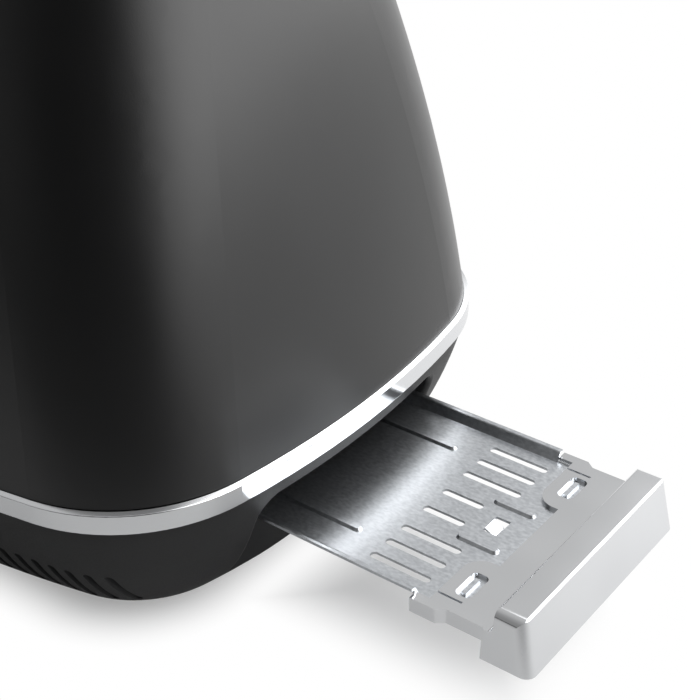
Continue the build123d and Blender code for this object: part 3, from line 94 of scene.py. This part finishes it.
def effect(name, inputs, outputs, kind="ShaderNodeTree"):
    """An empty node group with named inputs and outputs, each given with the kind of its socket."""
    tree = bpy.data.node_groups.new(name, kind)
    for in_out, sockets in (("INPUT", inputs), ("OUTPUT", outputs)):
        for label, socket_kind in sockets.items():
            tree.interface.new_socket(label, in_out=in_out, socket_type=socket_kind)
    given = tree.nodes.new("NodeGroupInput").outputs
    result = tree.nodes.new("NodeGroupOutput").inputs
    return tree, given, result


def put(tree, kind, feeds=None, **settings):
    """Adds a node with its settings, and feeds its inputs with values or other nodes' outputs."""
    node = tree.nodes.new(kind)
    for key, value in settings.items():
        setattr(node, key, value)
    for socket, value in (feeds or {}).items():
        if isinstance(value, bpy.types.NodeSocket):
            tree.links.new(value, node.inputs[socket])
        else:
            node.inputs[socket].default_value = value
    return node


def number(tree, operation, *values):
    """The number that a sum on other numbers comes to."""
    node = put(tree, "ShaderNodeMath", dict(enumerate(values)), operation=operation)
    return node.outputs["Value"]


def vector(tree, operation, *values):
    """What a sum on vectors comes to: a vector, or a number for a length or a dot product."""
    node = put(tree, "ShaderNodeVectorMath", dict(enumerate(values)), operation=operation)
    return node.outputs["Value" if operation in ("LENGTH", "DOT_PRODUCT") else "Vector"]


def spread_out(tree, source, spread, values, interpolation="LINEAR"):
    """A value that runs from one value to another while its source crosses a spread."""
    feeds = {"Value": source}
    feeds["From Min"], feeds["From Max"] = spread
    feeds["To Min"], feeds["To Max"] = values
    node = put(tree, "ShaderNodeMapRange", feeds, interpolation_type=interpolation)
    return node.outputs["Result"]


def ease(tree, source, spread, values):
    """A value that runs from one to another like that, with a smooth start and end."""
    return spread_out(tree, source, spread, values, interpolation="SMOOTHSTEP")


# ---------------------------------------------------------------- camera
CAMERA_AT = Vector((0.3346, -0.2915, 0.3027))
CAMERA_AZIMUTH = radians(37.77)
CAMERA_ELEVATION = radians(32.19)
CAMERA_ROLL = radians(-0.98)
CAMERA_LENS = 79.5
CAMERA_SENSOR = 36
CAMERA_NEAR = 0.01


def place_camera():
    """Stands the camera off the tray's corner, looking down on it."""
    back = Vector(
        (
            sin(CAMERA_AZIMUTH) * cos(CAMERA_ELEVATION),
            -cos(CAMERA_AZIMUTH) * cos(CAMERA_ELEVATION),
            sin(CAMERA_ELEVATION),
        )
    )
    right = UP.cross(back).normalized()
    up = back.cross(right)
    turned_right = cos(CAMERA_ROLL) * right + sin(CAMERA_ROLL) * up
    turned_up = cos(CAMERA_ROLL) * up - sin(CAMERA_ROLL) * right
    data = bpy.data.cameras.new("camera")
    data.lens = CAMERA_LENS
    data.sensor_width = CAMERA_SENSOR
    data.clip_start = CAMERA_NEAR
    camera = add_object("camera", data)
    camera.matrix_world = Matrix.Translation(CAMERA_AT) @ turned(turned_right, turned_up, back)
    bpy.context.scene.camera = camera


# ---------------------------------------------------------------- effects that the finishes share
# nearly all of a noise's values lie between these two
MASK_SPREAD = (0.3, 0.7)


def grain_effect():
    """Grain on Object coordinates, stretched along an axis: a mask and a bumped normal."""
    tree, given, result = effect(
        "grain",
        {"Scale": FLOAT, "Stretch": VECTOR, "Detail": FLOAT, "Depth": FLOAT, "Size": FLOAT},
        {"Mask": FLOAT, "Normal": VECTOR},
    )
    place = put(tree, "ShaderNodeTexCoord").outputs["Object"]
    stretched = vector(tree, "MULTIPLY", place, given["Stretch"])
    noise = put(
        tree,
        "ShaderNodeTexNoise",
        {"Vector": stretched, "Scale": given["Scale"], "Detail": given["Detail"]},
    )
    bump = put(
        tree,
        "ShaderNodeBump",
        {"Height": noise.outputs["Fac"], "Strength": given["Depth"], "Distance": given["Size"]},
    )
    tree.links.new(noise.outputs["Fac"], result["Mask"])
    tree.links.new(bump.outputs["Normal"], result["Normal"])
    return tree


def span_effect():
    """Turns a mask into a value that runs from Low to High across it."""
    tree, given, result = effect(
        "span", {"Mask": FLOAT, "Low": FLOAT, "High": FLOAT}, {"Value": FLOAT}
    )
    value = spread_out(tree, given["Mask"], MASK_SPREAD, (given["Low"], given["High"]))
    tree.links.new(value, result["Value"])
    return tree


GRAIN = grain_effect()
SPAN = span_effect()


class Finish:
    """One material: a Principled shader with effects feeding it."""

    def __init__(self, name, **sockets):
        self.material = bpy.data.materials.new(name)
        self.material.use_nodes = True
        self.tree = self.material.node_tree
        self.shader = self.tree.nodes["Principled BSDF"]
        for key, value in sockets.items():
            self.shader.inputs[key.replace("_", " ")].default_value = value

    def grain(self, scale, depth=0.0, stretch=(1.0, 1.0, 1.0), detail=3.0, size=0.0005):
        """Adds the grain effect and returns its node."""
        return put(
            self.tree,
            "ShaderNodeGroup",
            {"Scale": scale, "Stretch": stretch, "Detail": detail, "Depth": depth, "Size": size},
            node_tree=GRAIN,
        )

    def bump(self, grain):
        """Feeds a grain's normal to the shader."""
        self.tree.links.new(grain.outputs["Normal"], self.shader.inputs["Normal"])

    def roughen(self, grain, low, high):
        """Makes the roughness run from low to high across a grain's mask."""
        feeds = {"Mask": grain.outputs["Mask"], "Low": low, "High": high}
        span = put(self.tree, "ShaderNodeGroup", feeds, node_tree=SPAN)
        self.tree.links.new(span.outputs["Value"], self.shader.inputs["Roughness"])

    def tint(self, grain, dark, light):
        """Makes the colour run from dark to light across a grain's mask."""
        ramp = put(self.tree, "ShaderNodeValToRGB", {"Fac": grain.outputs["Mask"]})
        ends = ramp.color_ramp.elements
        for end, position, colour in zip(ends, MASK_SPREAD, (dark, light)):
            end.position = position
            end.color = (*colour, 1)
        self.tree.links.new(ramp.outputs["Color"], self.shader.inputs["Base Color"])


# ---------------------------------------------------------------- finishes, one for each slot
def painted_shell():
    """Satin black enamel with a very fine powder texture."""
    finish = Finish("satin_enamel", Specular_IOR_Level=0.6)
    powder = finish.grain(scale=2600, depth=0.06, detail=2.0, size=0.0002)
    finish.bump(powder)
    cloud = finish.grain(scale=22)
    finish.tint(cloud, dark=(0.0052, 0.0052, 0.0054), light=(0.0066, 0.0066, 0.0069))
    finish.roughen(cloud, low=0.3, high=0.33)
    return finish.material


def base_plastic():
    """Charcoal moulded plastic with a spark-eroded texture."""
    finish = Finish("charcoal_moulding", Specular_IOR_Level=0.3)
    texture = finish.grain(scale=2200, depth=0.08, detail=2.0, size=0.0002)
    finish.bump(texture)
    cloud = finish.grain(scale=30)
    finish.tint(cloud, dark=(0.0125, 0.0125, 0.013), light=(0.0155, 0.0155, 0.016))
    finish.roughen(texture, low=0.46, high=0.54)
    return finish.material


def deck_plastic():
    """Satin black heat-resistant plastic."""
    finish = Finish("deck_moulding")
    texture = finish.grain(scale=1800, depth=0.2, detail=2.0, size=0.0003)
    finish.bump(texture)
    finish.tint(texture, dark=(0.013, 0.013, 0.0135), light=(0.018, 0.018, 0.0185))
    finish.roughen(texture, low=0.36, high=0.44)
    return finish.material


def chrome():
    """Bright plating, with the faint waviness that a plated moulding has."""
    finish = Finish("bright_plating", Metallic=1.0)
    wave = finish.grain(scale=40, depth=0.03, detail=1.0, size=0.0003)
    finish.bump(wave)
    finish.tint(wave, dark=(0.81, 0.82, 0.835), light=(0.84, 0.85, 0.865))
    finish.roughen(wave, low=0.08, high=0.13)
    return finish.material


def tray_steel():
    """Tinned sheet, brushed lengthwise, with the crystal flecks of a tinned surface."""
    finish = Finish("tinned_sheet", Metallic=1.0)
    brushed = finish.grain(scale=1500, depth=0.03, stretch=(0.5, 1.0, 1.0), size=0.0002)
    finish.bump(brushed)
    fleck = finish.grain(scale=1100, stretch=(0.6, 1.0, 1.0), detail=2.0)
    finish.tint(fleck, dark=(0.5, 0.52, 0.545), light=(0.66, 0.68, 0.705))
    finish.roughen(fleck, low=0.28, high=0.33)
    return finish.material


def sheet_steel():
    """Galvanised sheet."""
    finish = Finish("galvanised_sheet", Metallic=1.0)
    spangle = finish.grain(scale=160, depth=0.06, detail=5.0)
    finish.bump(spangle)
    finish.tint(spangle, dark=(0.36, 0.37, 0.38), light=(0.56, 0.57, 0.58))
    finish.roughen(spangle, low=0.3, high=0.46)
    return finish.material


def reflector_sheet():
    """Bright rolled aluminium."""
    finish = Finish("rolled_aluminium", Metallic=1.0)
    rolled = finish.grain(scale=700, depth=0.1, stretch=(0.04, 1.0, 1.0))
    finish.bump(rolled)
    finish.tint(rolled, dark=(0.62, 0.63, 0.64), light=(0.76, 0.77, 0.78))
    finish.roughen(rolled, low=0.2, high=0.32)
    return finish.material


def rubber():
    """Matt black rubber."""
    finish = Finish("rubber")
    texture = finish.grain(scale=1200, depth=0.4, size=0.0004)
    finish.bump(texture)
    finish.tint(texture, dark=(0.018, 0.018, 0.018), light=(0.03, 0.03, 0.03))
    finish.roughen(texture, low=0.72, high=0.88)
    return finish.material


def mica():
    """Pressed mica board: flaky, warm grey."""
    finish = Finish("mica_board")
    flake = finish.grain(scale=90, depth=0.3, detail=6.0)
    finish.bump(flake)
    finish.tint(flake, dark=(0.3, 0.25, 0.17), light=(0.52, 0.46, 0.35))
    finish.roughen(flake, low=0.3, high=0.55)
    return finish.material


def heating_ribbon():
    """Resistance ribbon with a dull oxide bloom."""
    finish = Finish("oxidised_ribbon", Metallic=1.0)
    bloom = finish.grain(scale=300, depth=0.1)
    finish.bump(bloom)
    finish.tint(bloom, dark=(0.2, 0.18, 0.17), light=(0.38, 0.35, 0.32))
    finish.roughen(bloom, low=0.42, high=0.6)
    return finish.material


def control_gloss():
    """Gloss black plastic."""
    finish = Finish("gloss_moulding", Coat_Weight=0.4, Coat_Roughness=0.05)
    wave = finish.grain(scale=60, depth=0.04, detail=1.0)
    finish.bump(wave)
    finish.tint(wave, dark=(0.009, 0.009, 0.01), light=(0.013, 0.013, 0.014))
    finish.roughen(wave, low=0.12, high=0.18)
    return finish.material


def control_satin():
    """Satin dark grey plastic of the knob, the dial and the buttons."""
    finish = Finish("satin_control")
    texture = finish.grain(scale=1400, depth=0.15, detail=2.0, size=0.0003)
    finish.bump(texture)
    finish.tint(texture, dark=(0.03, 0.03, 0.032), light=(0.042, 0.042, 0.044))
    finish.roughen(texture, low=0.3, high=0.4)
    return finish.material


def board_green():
    """Lacquered circuit board."""
    finish = Finish("board_lacquer", Coat_Weight=0.3)
    weave = finish.grain(scale=500, depth=0.1, stretch=(1.0, 1.0, 0.3))
    finish.bump(weave)
    finish.tint(weave, dark=(0.012, 0.075, 0.025), light=(0.02, 0.115, 0.04))
    finish.roughen(weave, low=0.25, high=0.38)
    return finish.material


def component_black():
    """Moulded housings of the electrical parts."""
    finish = Finish("component_housing")
    texture = finish.grain(scale=900, depth=0.2)
    finish.bump(texture)
    finish.tint(texture, dark=(0.016, 0.016, 0.017), light=(0.03, 0.03, 0.032))
    finish.roughen(texture, low=0.38, high=0.54)
    return finish.material


def copper():
    """Enamelled winding, in fine level turns."""
    finish = Finish("enamelled_winding", Metallic=1.0)
    turns = finish.grain(scale=700, depth=0.5, stretch=(0.05, 0.05, 1.0))
    finish.bump(turns)
    finish.tint(turns, dark=(0.34, 0.13, 0.06), light=(0.6, 0.28, 0.15))
    finish.roughen(turns, low=0.24, high=0.4)
    return finish.material


def spring_steel():
    """Drawn wire and ground rod."""
    finish = Finish("drawn_wire", Metallic=1.0)
    drawn = finish.grain(scale=800, depth=0.12, stretch=(1.0, 1.0, 0.1))
    finish.bump(drawn)
    finish.tint(drawn, dark=(0.42, 0.42, 0.43), light=(0.58, 0.58, 0.59))
    finish.roughen(drawn, low=0.22, high=0.36)
    return finish.material


FINISHES = {
    make.__name__: make()
    for make in (
        painted_shell,
        base_plastic,
        deck_plastic,
        chrome,
        tray_steel,
        sheet_steel,
        reflector_sheet,
        rubber,
        mica,
        heating_ribbon,
        control_gloss,
        control_satin,
        board_green,
        component_black,
        copper,
        spring_steel,
    )
}


def dress_nodes():
    """Gives every CAD node the finish of its material slot."""
    for entry in frame["record"]["subparts"]:
        for slot in nodes[entry["node"]].material_slots:
            slot.material = FINISHES[entry["material_slot"]]


# ---------------------------------------------------------------- marks on the controls
MARK_SINK = 0.0002
MARK_RISE = 0.00005
STROKE_WIDTH = 0.00045
BAR_END_STEPS = 6


def rounded_bar(build, start, end, width, front_x, back_x):
    """A flat bar with round ends that faces -X, between two points given as (to the right, up)."""
    along = (Vector(end) - Vector(start)).normalized()
    side = Vector((-along.y, along.x))
    outline = []
    for point, first_turn in ((Vector(end), pi / 2), (Vector(start), -pi / 2)):
        for step in range(BAR_END_STEPS + 1):
            turn = first_turn - pi * step / BAR_END_STEPS
            outline.append(point + width / 2 * (cos(turn) * along + sin(turn) * side))
    front = [build.verts.new((front_x, -p.x, p.y)) for p in outline]
    back = [build.verts.new((back_x, -p.x, p.y)) for p in outline]
    build.faces.new(front)
    build.faces.new(reversed(back))
    for here in range(len(outline)):
        there = (here + 1) % len(outline)
        build.faces.new((front[there], front[here], back[here], back[there]))


def finished_piece(name, mesh, body, slot):
    """Puts a mesh into the scene as a piece that rides on a body and has the finish of a slot."""
    mesh.materials.clear()
    mesh.materials.append(FINISHES[slot])
    piece = add_object(name, mesh)
    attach(piece, body)


def mark(name, body, front_x, bars):
    """Bright marks let into a face that looks to -X, of round-ended bars (start, end, width)."""
    build = bmesh.new()
    for start, end, width in bars:
        rounded_bar(build, start, end, width, front_x - MARK_RISE, front_x + MARK_SINK)
    bmesh.ops.recalc_face_normals(build, faces=build.faces)
    mesh = bpy.data.meshes.new(name)
    build.to_mesh(mesh)
    build.free()
    finished_piece(name, mesh, body, "chrome")


def ring_point(radius, turn):
    """A point (to the right, up) on a circle, at a turn clockwise from straight up, in degrees."""
    return (radius * sin(radians(turn)), radius * cos(radians(turn)))


def ring_path(radius, first_turn, last_turn, steps):
    """Points along an arc of a circle."""
    step_turn = last_turn - first_turn
    return [ring_point(radius, first_turn + step_turn * step / steps) for step in range(steps + 1)]


def joined(points):
    """The lines that join points one after another."""
    return list(zip(points, points[1:]))


def across(right, up):
    """The line from a point to the one opposite it, through the middle."""
    return ((-right, -up), (right, up))


SIGN_REACH = 0.0021
CROSS_REACH = SIGN_REACH * 0.7
LOOP_RADIUS = SIGN_REACH * 0.9
LOOP_TURNS = (40, 320)
LOOP_STEPS = 14
LOOP_TIP = ((-0.0024, 0.0008), (-0.0012, 0.0014), (-0.0013, 0.0027))
FLAKE_TURNS = (0, 60, 120)
SLICE_HALF_WIDTH = 0.0015
SLICE_HALF_HEIGHT = 0.0019
SLICE_LINE_REACH = 0.0012
SLICE_CORNERS = (
    (-SLICE_HALF_WIDTH, -SLICE_HALF_HEIGHT),
    (-SLICE_HALF_WIDTH, SLICE_HALF_HEIGHT),
    (SLICE_HALF_WIDTH, SLICE_HALF_HEIGHT),
    (SLICE_HALF_WIDTH, -SLICE_HALF_HEIGHT),
)
SIGNS = {
    "cancel": [across(CROSS_REACH, CROSS_REACH), across(CROSS_REACH, -CROSS_REACH)],
    "reheat": joined(ring_path(LOOP_RADIUS, *LOOP_TURNS, LOOP_STEPS)) + joined(LOOP_TIP),
    "defrost": [across(*ring_point(SIGN_REACH, turn)) for turn in FLAKE_TURNS],
    "one_side": joined((*SLICE_CORNERS, SLICE_CORNERS[0])) + [across(0.0, SLICE_LINE_REACH)],
}


def sign_buttons():
    """A line sign let into the face of each button."""
    for name, lines in SIGNS.items():
        low_corner, high_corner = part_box(f"{name}_button")
        middle = (low_corner + high_corner) / 2
        shift = Vector((-middle.y, middle.z))
        bars = [(Vector(start) + shift, Vector(end) + shift, STROKE_WIDTH) for start, end in lines]
        mark(f"{name}_sign", name, low_corner.x, bars)


POINTER_WIDTH = 0.0011
POINTER_SHARE = (0.24, 0.78)


def point_dial():
    """A bright pointer laid in the groove of the dial."""
    low_corner, high_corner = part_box("browning_dial")
    middle = (low_corner + high_corner) / 2
    radius = (high_corner.z - low_corner.z) / 2
    ends = [(-middle.y, middle.z + share * radius) for share in POINTER_SHARE]
    mark("dial_pointer", "dial", low_corner.x + 2 * MARK_RISE, [(*ends, POINTER_WIDTH)])


DIAL_SWEEP = radians(270)
TICK_COUNT = 13
TICK_GAP = 0.0007
TICK_LENGTH = 0.0009
TICK_WIDTH = 0.0004
NUMBER_SIZE = 0.0038
NUMBER_GAP = 0.0032
# marks start this far in front of the panel and drop onto it over at most this reach
DROP_START = 0.02
DROP_REACH = 0.1


def tick_tree():
    """Ticks round a dial, each one laid square on the panel behind it."""
    tree, given, result = effect(
        "dial_ticks",
        {
            "Geometry": GEOMETRY,
            "Panel": "NodeSocketObject",
            "Count": "NodeSocketInt",
            "Radius": FLOAT,
            "Sweep": FLOAT,
            "Middle": VECTOR,
            "Tick Size": VECTOR,
            "Finish": "NodeSocketMaterial",
        },
        {"Geometry": GEOMETRY},
        kind="GeometryNodeTree",
    )
    # a ring of points in front of the panel
    points = put(tree, "GeometryNodeMeshLine", {"Count": given["Count"]}).outputs["Mesh"]
    index = put(tree, "GeometryNodeInputIndex").outputs["Index"]
    share = number(tree, "DIVIDE", index, number(tree, "SUBTRACT", given["Count"], 1))
    turn = number(tree, "MULTIPLY", number(tree, "SUBTRACT", share, 0.5), given["Sweep"])
    angles = put(tree, "ShaderNodeCombineXYZ", {"X": turn}).outputs["Vector"]
    upright = put(tree, "ShaderNodeCombineXYZ", {"Z": given["Radius"]}).outputs["Vector"]
    swung = put(
        tree,
        "ShaderNodeVectorRotate",
        {"Vector": upright, "Rotation": angles},
        rotation_type="EULER_XYZ",
    )
    start = vector(tree, "ADD", swung.outputs["Vector"], given["Middle"])
    # each point drops onto the panel, and its tick leans with the panel there
    panel = put(tree, "GeometryNodeObjectInfo", {"Object": given["Panel"]}).outputs["Geometry"]
    drop = put(
        tree,
        "GeometryNodeRaycast",
        {
            "Target Geometry": panel,
            "Source Position": start,
            "Ray Direction": INTO_PANEL,
            "Ray Length": DROP_REACH,
        },
    ).outputs
    placed = put(
        tree, "GeometryNodeSetPosition", {"Geometry": points, "Position": drop["Hit Position"]}
    )
    inward = put(
        tree, "ShaderNodeVectorMath", {0: drop["Hit Normal"], "Scale": -1}, operation="SCALE"
    )
    swing = put(tree, "FunctionNodeEulerToRotation", {0: angles})
    lean = put(
        tree,
        "FunctionNodeAlignRotationToVector",
        {"Rotation": swing.outputs[0], "Vector": inward.outputs["Vector"]},
        axis="X",
    )
    tick = put(tree, "GeometryNodeMeshCube", {"Size": given["Tick Size"]})
    ticks = put(
        tree,
        "GeometryNodeInstanceOnPoints",
        {
            "Points": placed.outputs["Geometry"],
            "Instance": tick.outputs["Mesh"],
            "Rotation": lean.outputs["Rotation"],
        },
    )
    real = put(tree, "GeometryNodeRealizeInstances", {"Geometry": ticks.outputs["Instances"]})
    dressed = put(
        tree,
        "GeometryNodeSetMaterial",
        {"Geometry": real.outputs["Geometry"], "Material": given["Finish"]},
    )
    tree.links.new(dressed.outputs["Geometry"], result["Geometry"])
    return tree


def dial_surround():
    """A point in front of the dial's middle, and the radius of the ring that its ticks stand on."""
    panel_low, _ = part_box("control_panel")
    bezel_low, bezel_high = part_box("dial_bezel")
    middle = (bezel_low + bezel_high) / 2
    middle.x = panel_low.x - DROP_START
    return middle, (bezel_high.z - bezel_low.z) / 2 + TICK_GAP + TICK_LENGTH / 2


def scale_dial():
    """Ticks on the panel round the dial."""
    middle, radius = dial_surround()
    maker = add_object("tick_maker", bpy.data.meshes.new("tick_maker"))
    modifier = maker.modifiers.new("ticks", "NODES")
    modifier.node_group = tick_tree()
    values = {
        "Panel": nodes["control_panel"],
        "Count": TICK_COUNT,
        "Radius": radius,
        "Sweep": DIAL_SWEEP,
        "Middle": middle,
        "Tick Size": (2 * MARK_RISE, TICK_WIDTH, TICK_LENGTH),
        "Finish": FINISHES["chrome"],
    }
    for socket in modifier.node_group.interface.items_tree:
        if socket.in_out == "INPUT" and socket.name in values:
            modifier[socket.identifier] = values[socket.name]
    finished_piece("dial_ticks", into_mesh(maker), "body", "chrome")


def number_dial():
    """A number at each end of the dial's ticks, laid square on the panel."""
    middle, radius = dial_surround()
    reach = radius + NUMBER_GAP
    for label, turn in (("1", -DIAL_SWEEP / 2), ("6", DIAL_SWEEP / 2)):
        letter = bpy.data.curves.new(f"dial_number_{label}", "FONT")
        letter.body = label
        letter.size = NUMBER_SIZE
        letter.extrude = MARK_RISE
        letter.align_x = "CENTER"
        letter.align_y = "CENTER"
        flat = into_mesh(add_object("number_maker", letter))
        start = middle + Vector((0, -reach * sin(turn), reach * cos(turn)))
        _, place, normal, _ = nodes["control_panel"].ray_cast(start, INTO_PANEL)
        right = UP.cross(normal).normalized()
        flat.transform(Matrix.Translation(place) @ turned(right, normal.cross(right), normal))
        finished_piece(f"dial_number_{label}", flat, "body", "chrome")


# ---------------------------------------------------------------- studio
# Each shade, painted sheen or painted shade is given as where it starts and ends, and then its
# value there.
SOLE_BAND = 0.002
SOLE_CORNER = 0.04
SOLE_SHADE = ((-0.017, 0.006), (0.3, 1.0))
TRAY_CORNER = 0.004
TRAY_SHADE = ((-0.028, 0.001), (0.26, 1.0))
# painted sheen: white on the floor behind the object, seen only in reflections
PAINTED_SHEEN_TOWARDS = (0.45, 0.89, 0)
PAINTED_SHEEN = ((-0.02, 0.27), (0.0, 1.0))
# painted shade: the paper dims in front of the object for all but the camera
PAINTED_SHADE_TOWARDS = (0.6, -0.8, 0)
PAINTED_SHADE = ((0.12, 0.36), (0.5, 0.07))
PAPER_TONE = 0.92
FLOOR_REACH = 6.0


def sole():
    """Middle and half size of the base's lowest outline."""
    low_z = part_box("base_moulding")[0][2]
    rim = [v.co for v in nodes["base_moulding"].data.vertices if v.co.z < low_z + SOLE_BAND]
    spans = [(min(p[axis] for p in rim), max(p[axis] for p in rim)) for axis in (0, 1)]
    middle = [(start + end) / 2 for start, end in spans]
    half = [(end - start) / 2 for start, end in spans]
    return middle, half


def drawn_out(base_end):
    """Middle and half size of what stands out of the base's end: the tray with its handle."""
    low_corner, high_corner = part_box("tray_handle")
    middle = [(base_end + high_corner[0]) / 2, (low_corner[1] + high_corner[1]) / 2]
    half = [(high_corner[0] - base_end) / 2, (high_corner[1] - low_corner[1]) / 2]
    return middle, half


def footprint_effect():
    """Distance on the floor from a rounded rectangle: below 0 inside it."""
    tree, given, result = effect(
        "footprint", {"Middle": VECTOR, "Half Size": VECTOR, "Corner": FLOAT}, {"Distance": FLOAT}
    )
    place = put(tree, "ShaderNodeTexCoord").outputs["Object"]
    folded = vector(tree, "ABSOLUTE", vector(tree, "SUBTRACT", place, given["Middle"]))
    beyond = vector(tree, "SUBTRACT", folded, given["Half Size"])
    outside = vector(tree, "LENGTH", vector(tree, "MAXIMUM", beyond, (0, 0, 0)))
    split = put(tree, "ShaderNodeSeparateXYZ", {"Vector": beyond}).outputs
    inside = number(tree, "MINIMUM", number(tree, "MAXIMUM", split["X"], split["Y"]), 0)
    distance = number(tree, "SUBTRACT", number(tree, "ADD", outside, inside), given["Corner"])
    tree.links.new(distance, result["Distance"])
    return tree


def floor_material():
    """Pale paper, plain white to the camera except in the shadow close to the object; a painted
    sheen behind it and painted shade in front show only in reflections and bounced light.
    """
    material = bpy.data.materials.new("studio_floor")
    material.use_nodes = True
    tree = material.node_tree
    tree.nodes.clear()
    footprint = footprint_effect()
    sole_middle, sole_half = sole()
    tray_middle, tray_half = drawn_out(sole_middle[0] + sole_half[0])
    shades = []
    for middle, half, corner, shade in (
        (sole_middle, sole_half, SOLE_CORNER, SOLE_SHADE),
        (tray_middle, tray_half, TRAY_CORNER, TRAY_SHADE),
    ):
        feeds = {
            "Middle": (*middle, 0),
            "Half Size": (half[0] - corner, half[1] - corner, 0),
            "Corner": corner,
        }
        outline = put(tree, "ShaderNodeGroup", feeds, node_tree=footprint)
        shades.append(ease(tree, outline.outputs["Distance"], *shade))
    ray = put(tree, "ShaderNodeLightPath").outputs
    place = put(tree, "ShaderNodeTexCoord").outputs["Object"]
    seen = number(tree, "MULTIPLY", ray["Is Camera Ray"], number(tree, "MULTIPLY", *shades))
    # painted sheen: gloss sees the paper white behind the object
    painted_sheen = ease(tree, vector(tree, "DOT_PRODUCT", place, PAINTED_SHEEN_TOWARDS), *PAINTED_SHEEN)
    white_with_painted_sheen = number(tree, "MULTIPLY_ADD", ray["Is Glossy Ray"], painted_sheen, seen)
    # painted shade: all but the camera see the paper dim in front of the object
    dim = ease(tree, vector(tree, "DOT_PRODUCT", place, PAINTED_SHADE_TOWARDS), *PAINTED_SHADE)
    paper_with_painted_shade = spread_out(tree, ray["Is Camera Ray"], (0, 1), (dim, PAPER_TONE))
    paper = put(tree, "ShaderNodeBsdfDiffuse", {"Color": paper_with_painted_shade}).outputs[0]
    white = put(tree, "ShaderNodeEmission", {"Color": WHITE, "Strength": 1}).outputs[0]
    mix = put(tree, "ShaderNodeMixShader", {"Fac": white_with_painted_sheen, 1: paper, 2: white}).outputs[0]
    put(tree, "ShaderNodeOutputMaterial", {"Surface": mix})
    return material


def lay_floor():
    """A broad plain floor at the level of the feet."""
    mesh = bpy.data.meshes.new("floor")
    signs = ((-1, -1), (1, -1), (1, 1), (-1, 1))
    corners = [(FLOOR_REACH * x, FLOOR_REACH * y, 0) for x, y in signs]
    mesh.from_pydata(corners, [], [(0, 1, 2, 3)])
    mesh.materials.append(floor_material())
    floor = add_object("floor", mesh)


# Each part of the room is a direction, then how far towards it the value starts and stops changing
# (from -1, facing away, to 1), and the values there.
ROOM_WALL = ((-0.4, 0.8, 0.5), (-0.5, 0.8), (0.25, 0.56))
ROOM_GLOOM = ((0.62, -0.77, 0.15), (0.5, 1.0), (1.0, 0.06))
ROOM_GLOW = ((0.72, 0.62, 0.31), (0.36, 0.9), (0.0, 3.4))


def towards(tree, direction, spread, values):
    """A value that changes over the room as it turns towards a direction."""
    place = put(tree, "ShaderNodeTexCoord").outputs["Generated"]
    facing = vector(tree, "DOT_PRODUCT", place, Vector(direction).normalized())
    return ease(tree, facing, spread, values)


def light_room():
    """White to the camera; to the object a soft wall, a dim side and a glow off the tray's end."""
    world = bpy.data.worlds.new("studio")
    bpy.context.scene.world = world
    world.use_nodes = True
    tree = world.node_tree
    tree.nodes.clear()
    wall, gloom, glow = (towards(tree, *part) for part in (ROOM_WALL, ROOM_GLOOM, ROOM_GLOW))
    strength = number(tree, "MULTIPLY_ADD", wall, gloom, glow)
    room = put(tree, "ShaderNodeBackground", {"Color": WHITE, "Strength": strength}).outputs[0]
    white = put(tree, "ShaderNodeBackground", {"Color": WHITE, "Strength": 1}).outputs[0]
    seen = put(tree, "ShaderNodeLightPath").outputs["Is Camera Ray"]
    mix = put(tree, "ShaderNodeMixShader", {"Fac": seen, 1: room, 2: white}).outputs[0]
    put(tree, "ShaderNodeOutputWorld", {"Surface": mix})


TOP_LIGHT_AT = Vector((0.12, 0.75, 1.4))
TOP_LIGHT_SIZE = 1.1
TOP_LIGHT_POWER = 3


def hang_top_light():
    """A weak square light above the far side, facing the object."""
    data = bpy.data.lights.new("top_light", "AREA")
    data.shape = "SQUARE"
    data.size = TOP_LIGHT_SIZE
    data.energy = TOP_LIGHT_POWER
    lamp = add_object("top_light", data)
    aim = (cad_low + cad_high) / 2 - TOP_LIGHT_AT
    turn = aim.to_track_quat("-Z", "Y").to_matrix().to_4x4()
    lamp.matrix_world = Matrix.Translation(TOP_LIGHT_AT) @ turn


place_camera()
dress_nodes()
sign_buttons()
point_dial()
scale_dial()
number_dial()
lay_floor()
light_room()
hang_top_light()
bpy.context.scene.view_settings.view_transform = "Standard"
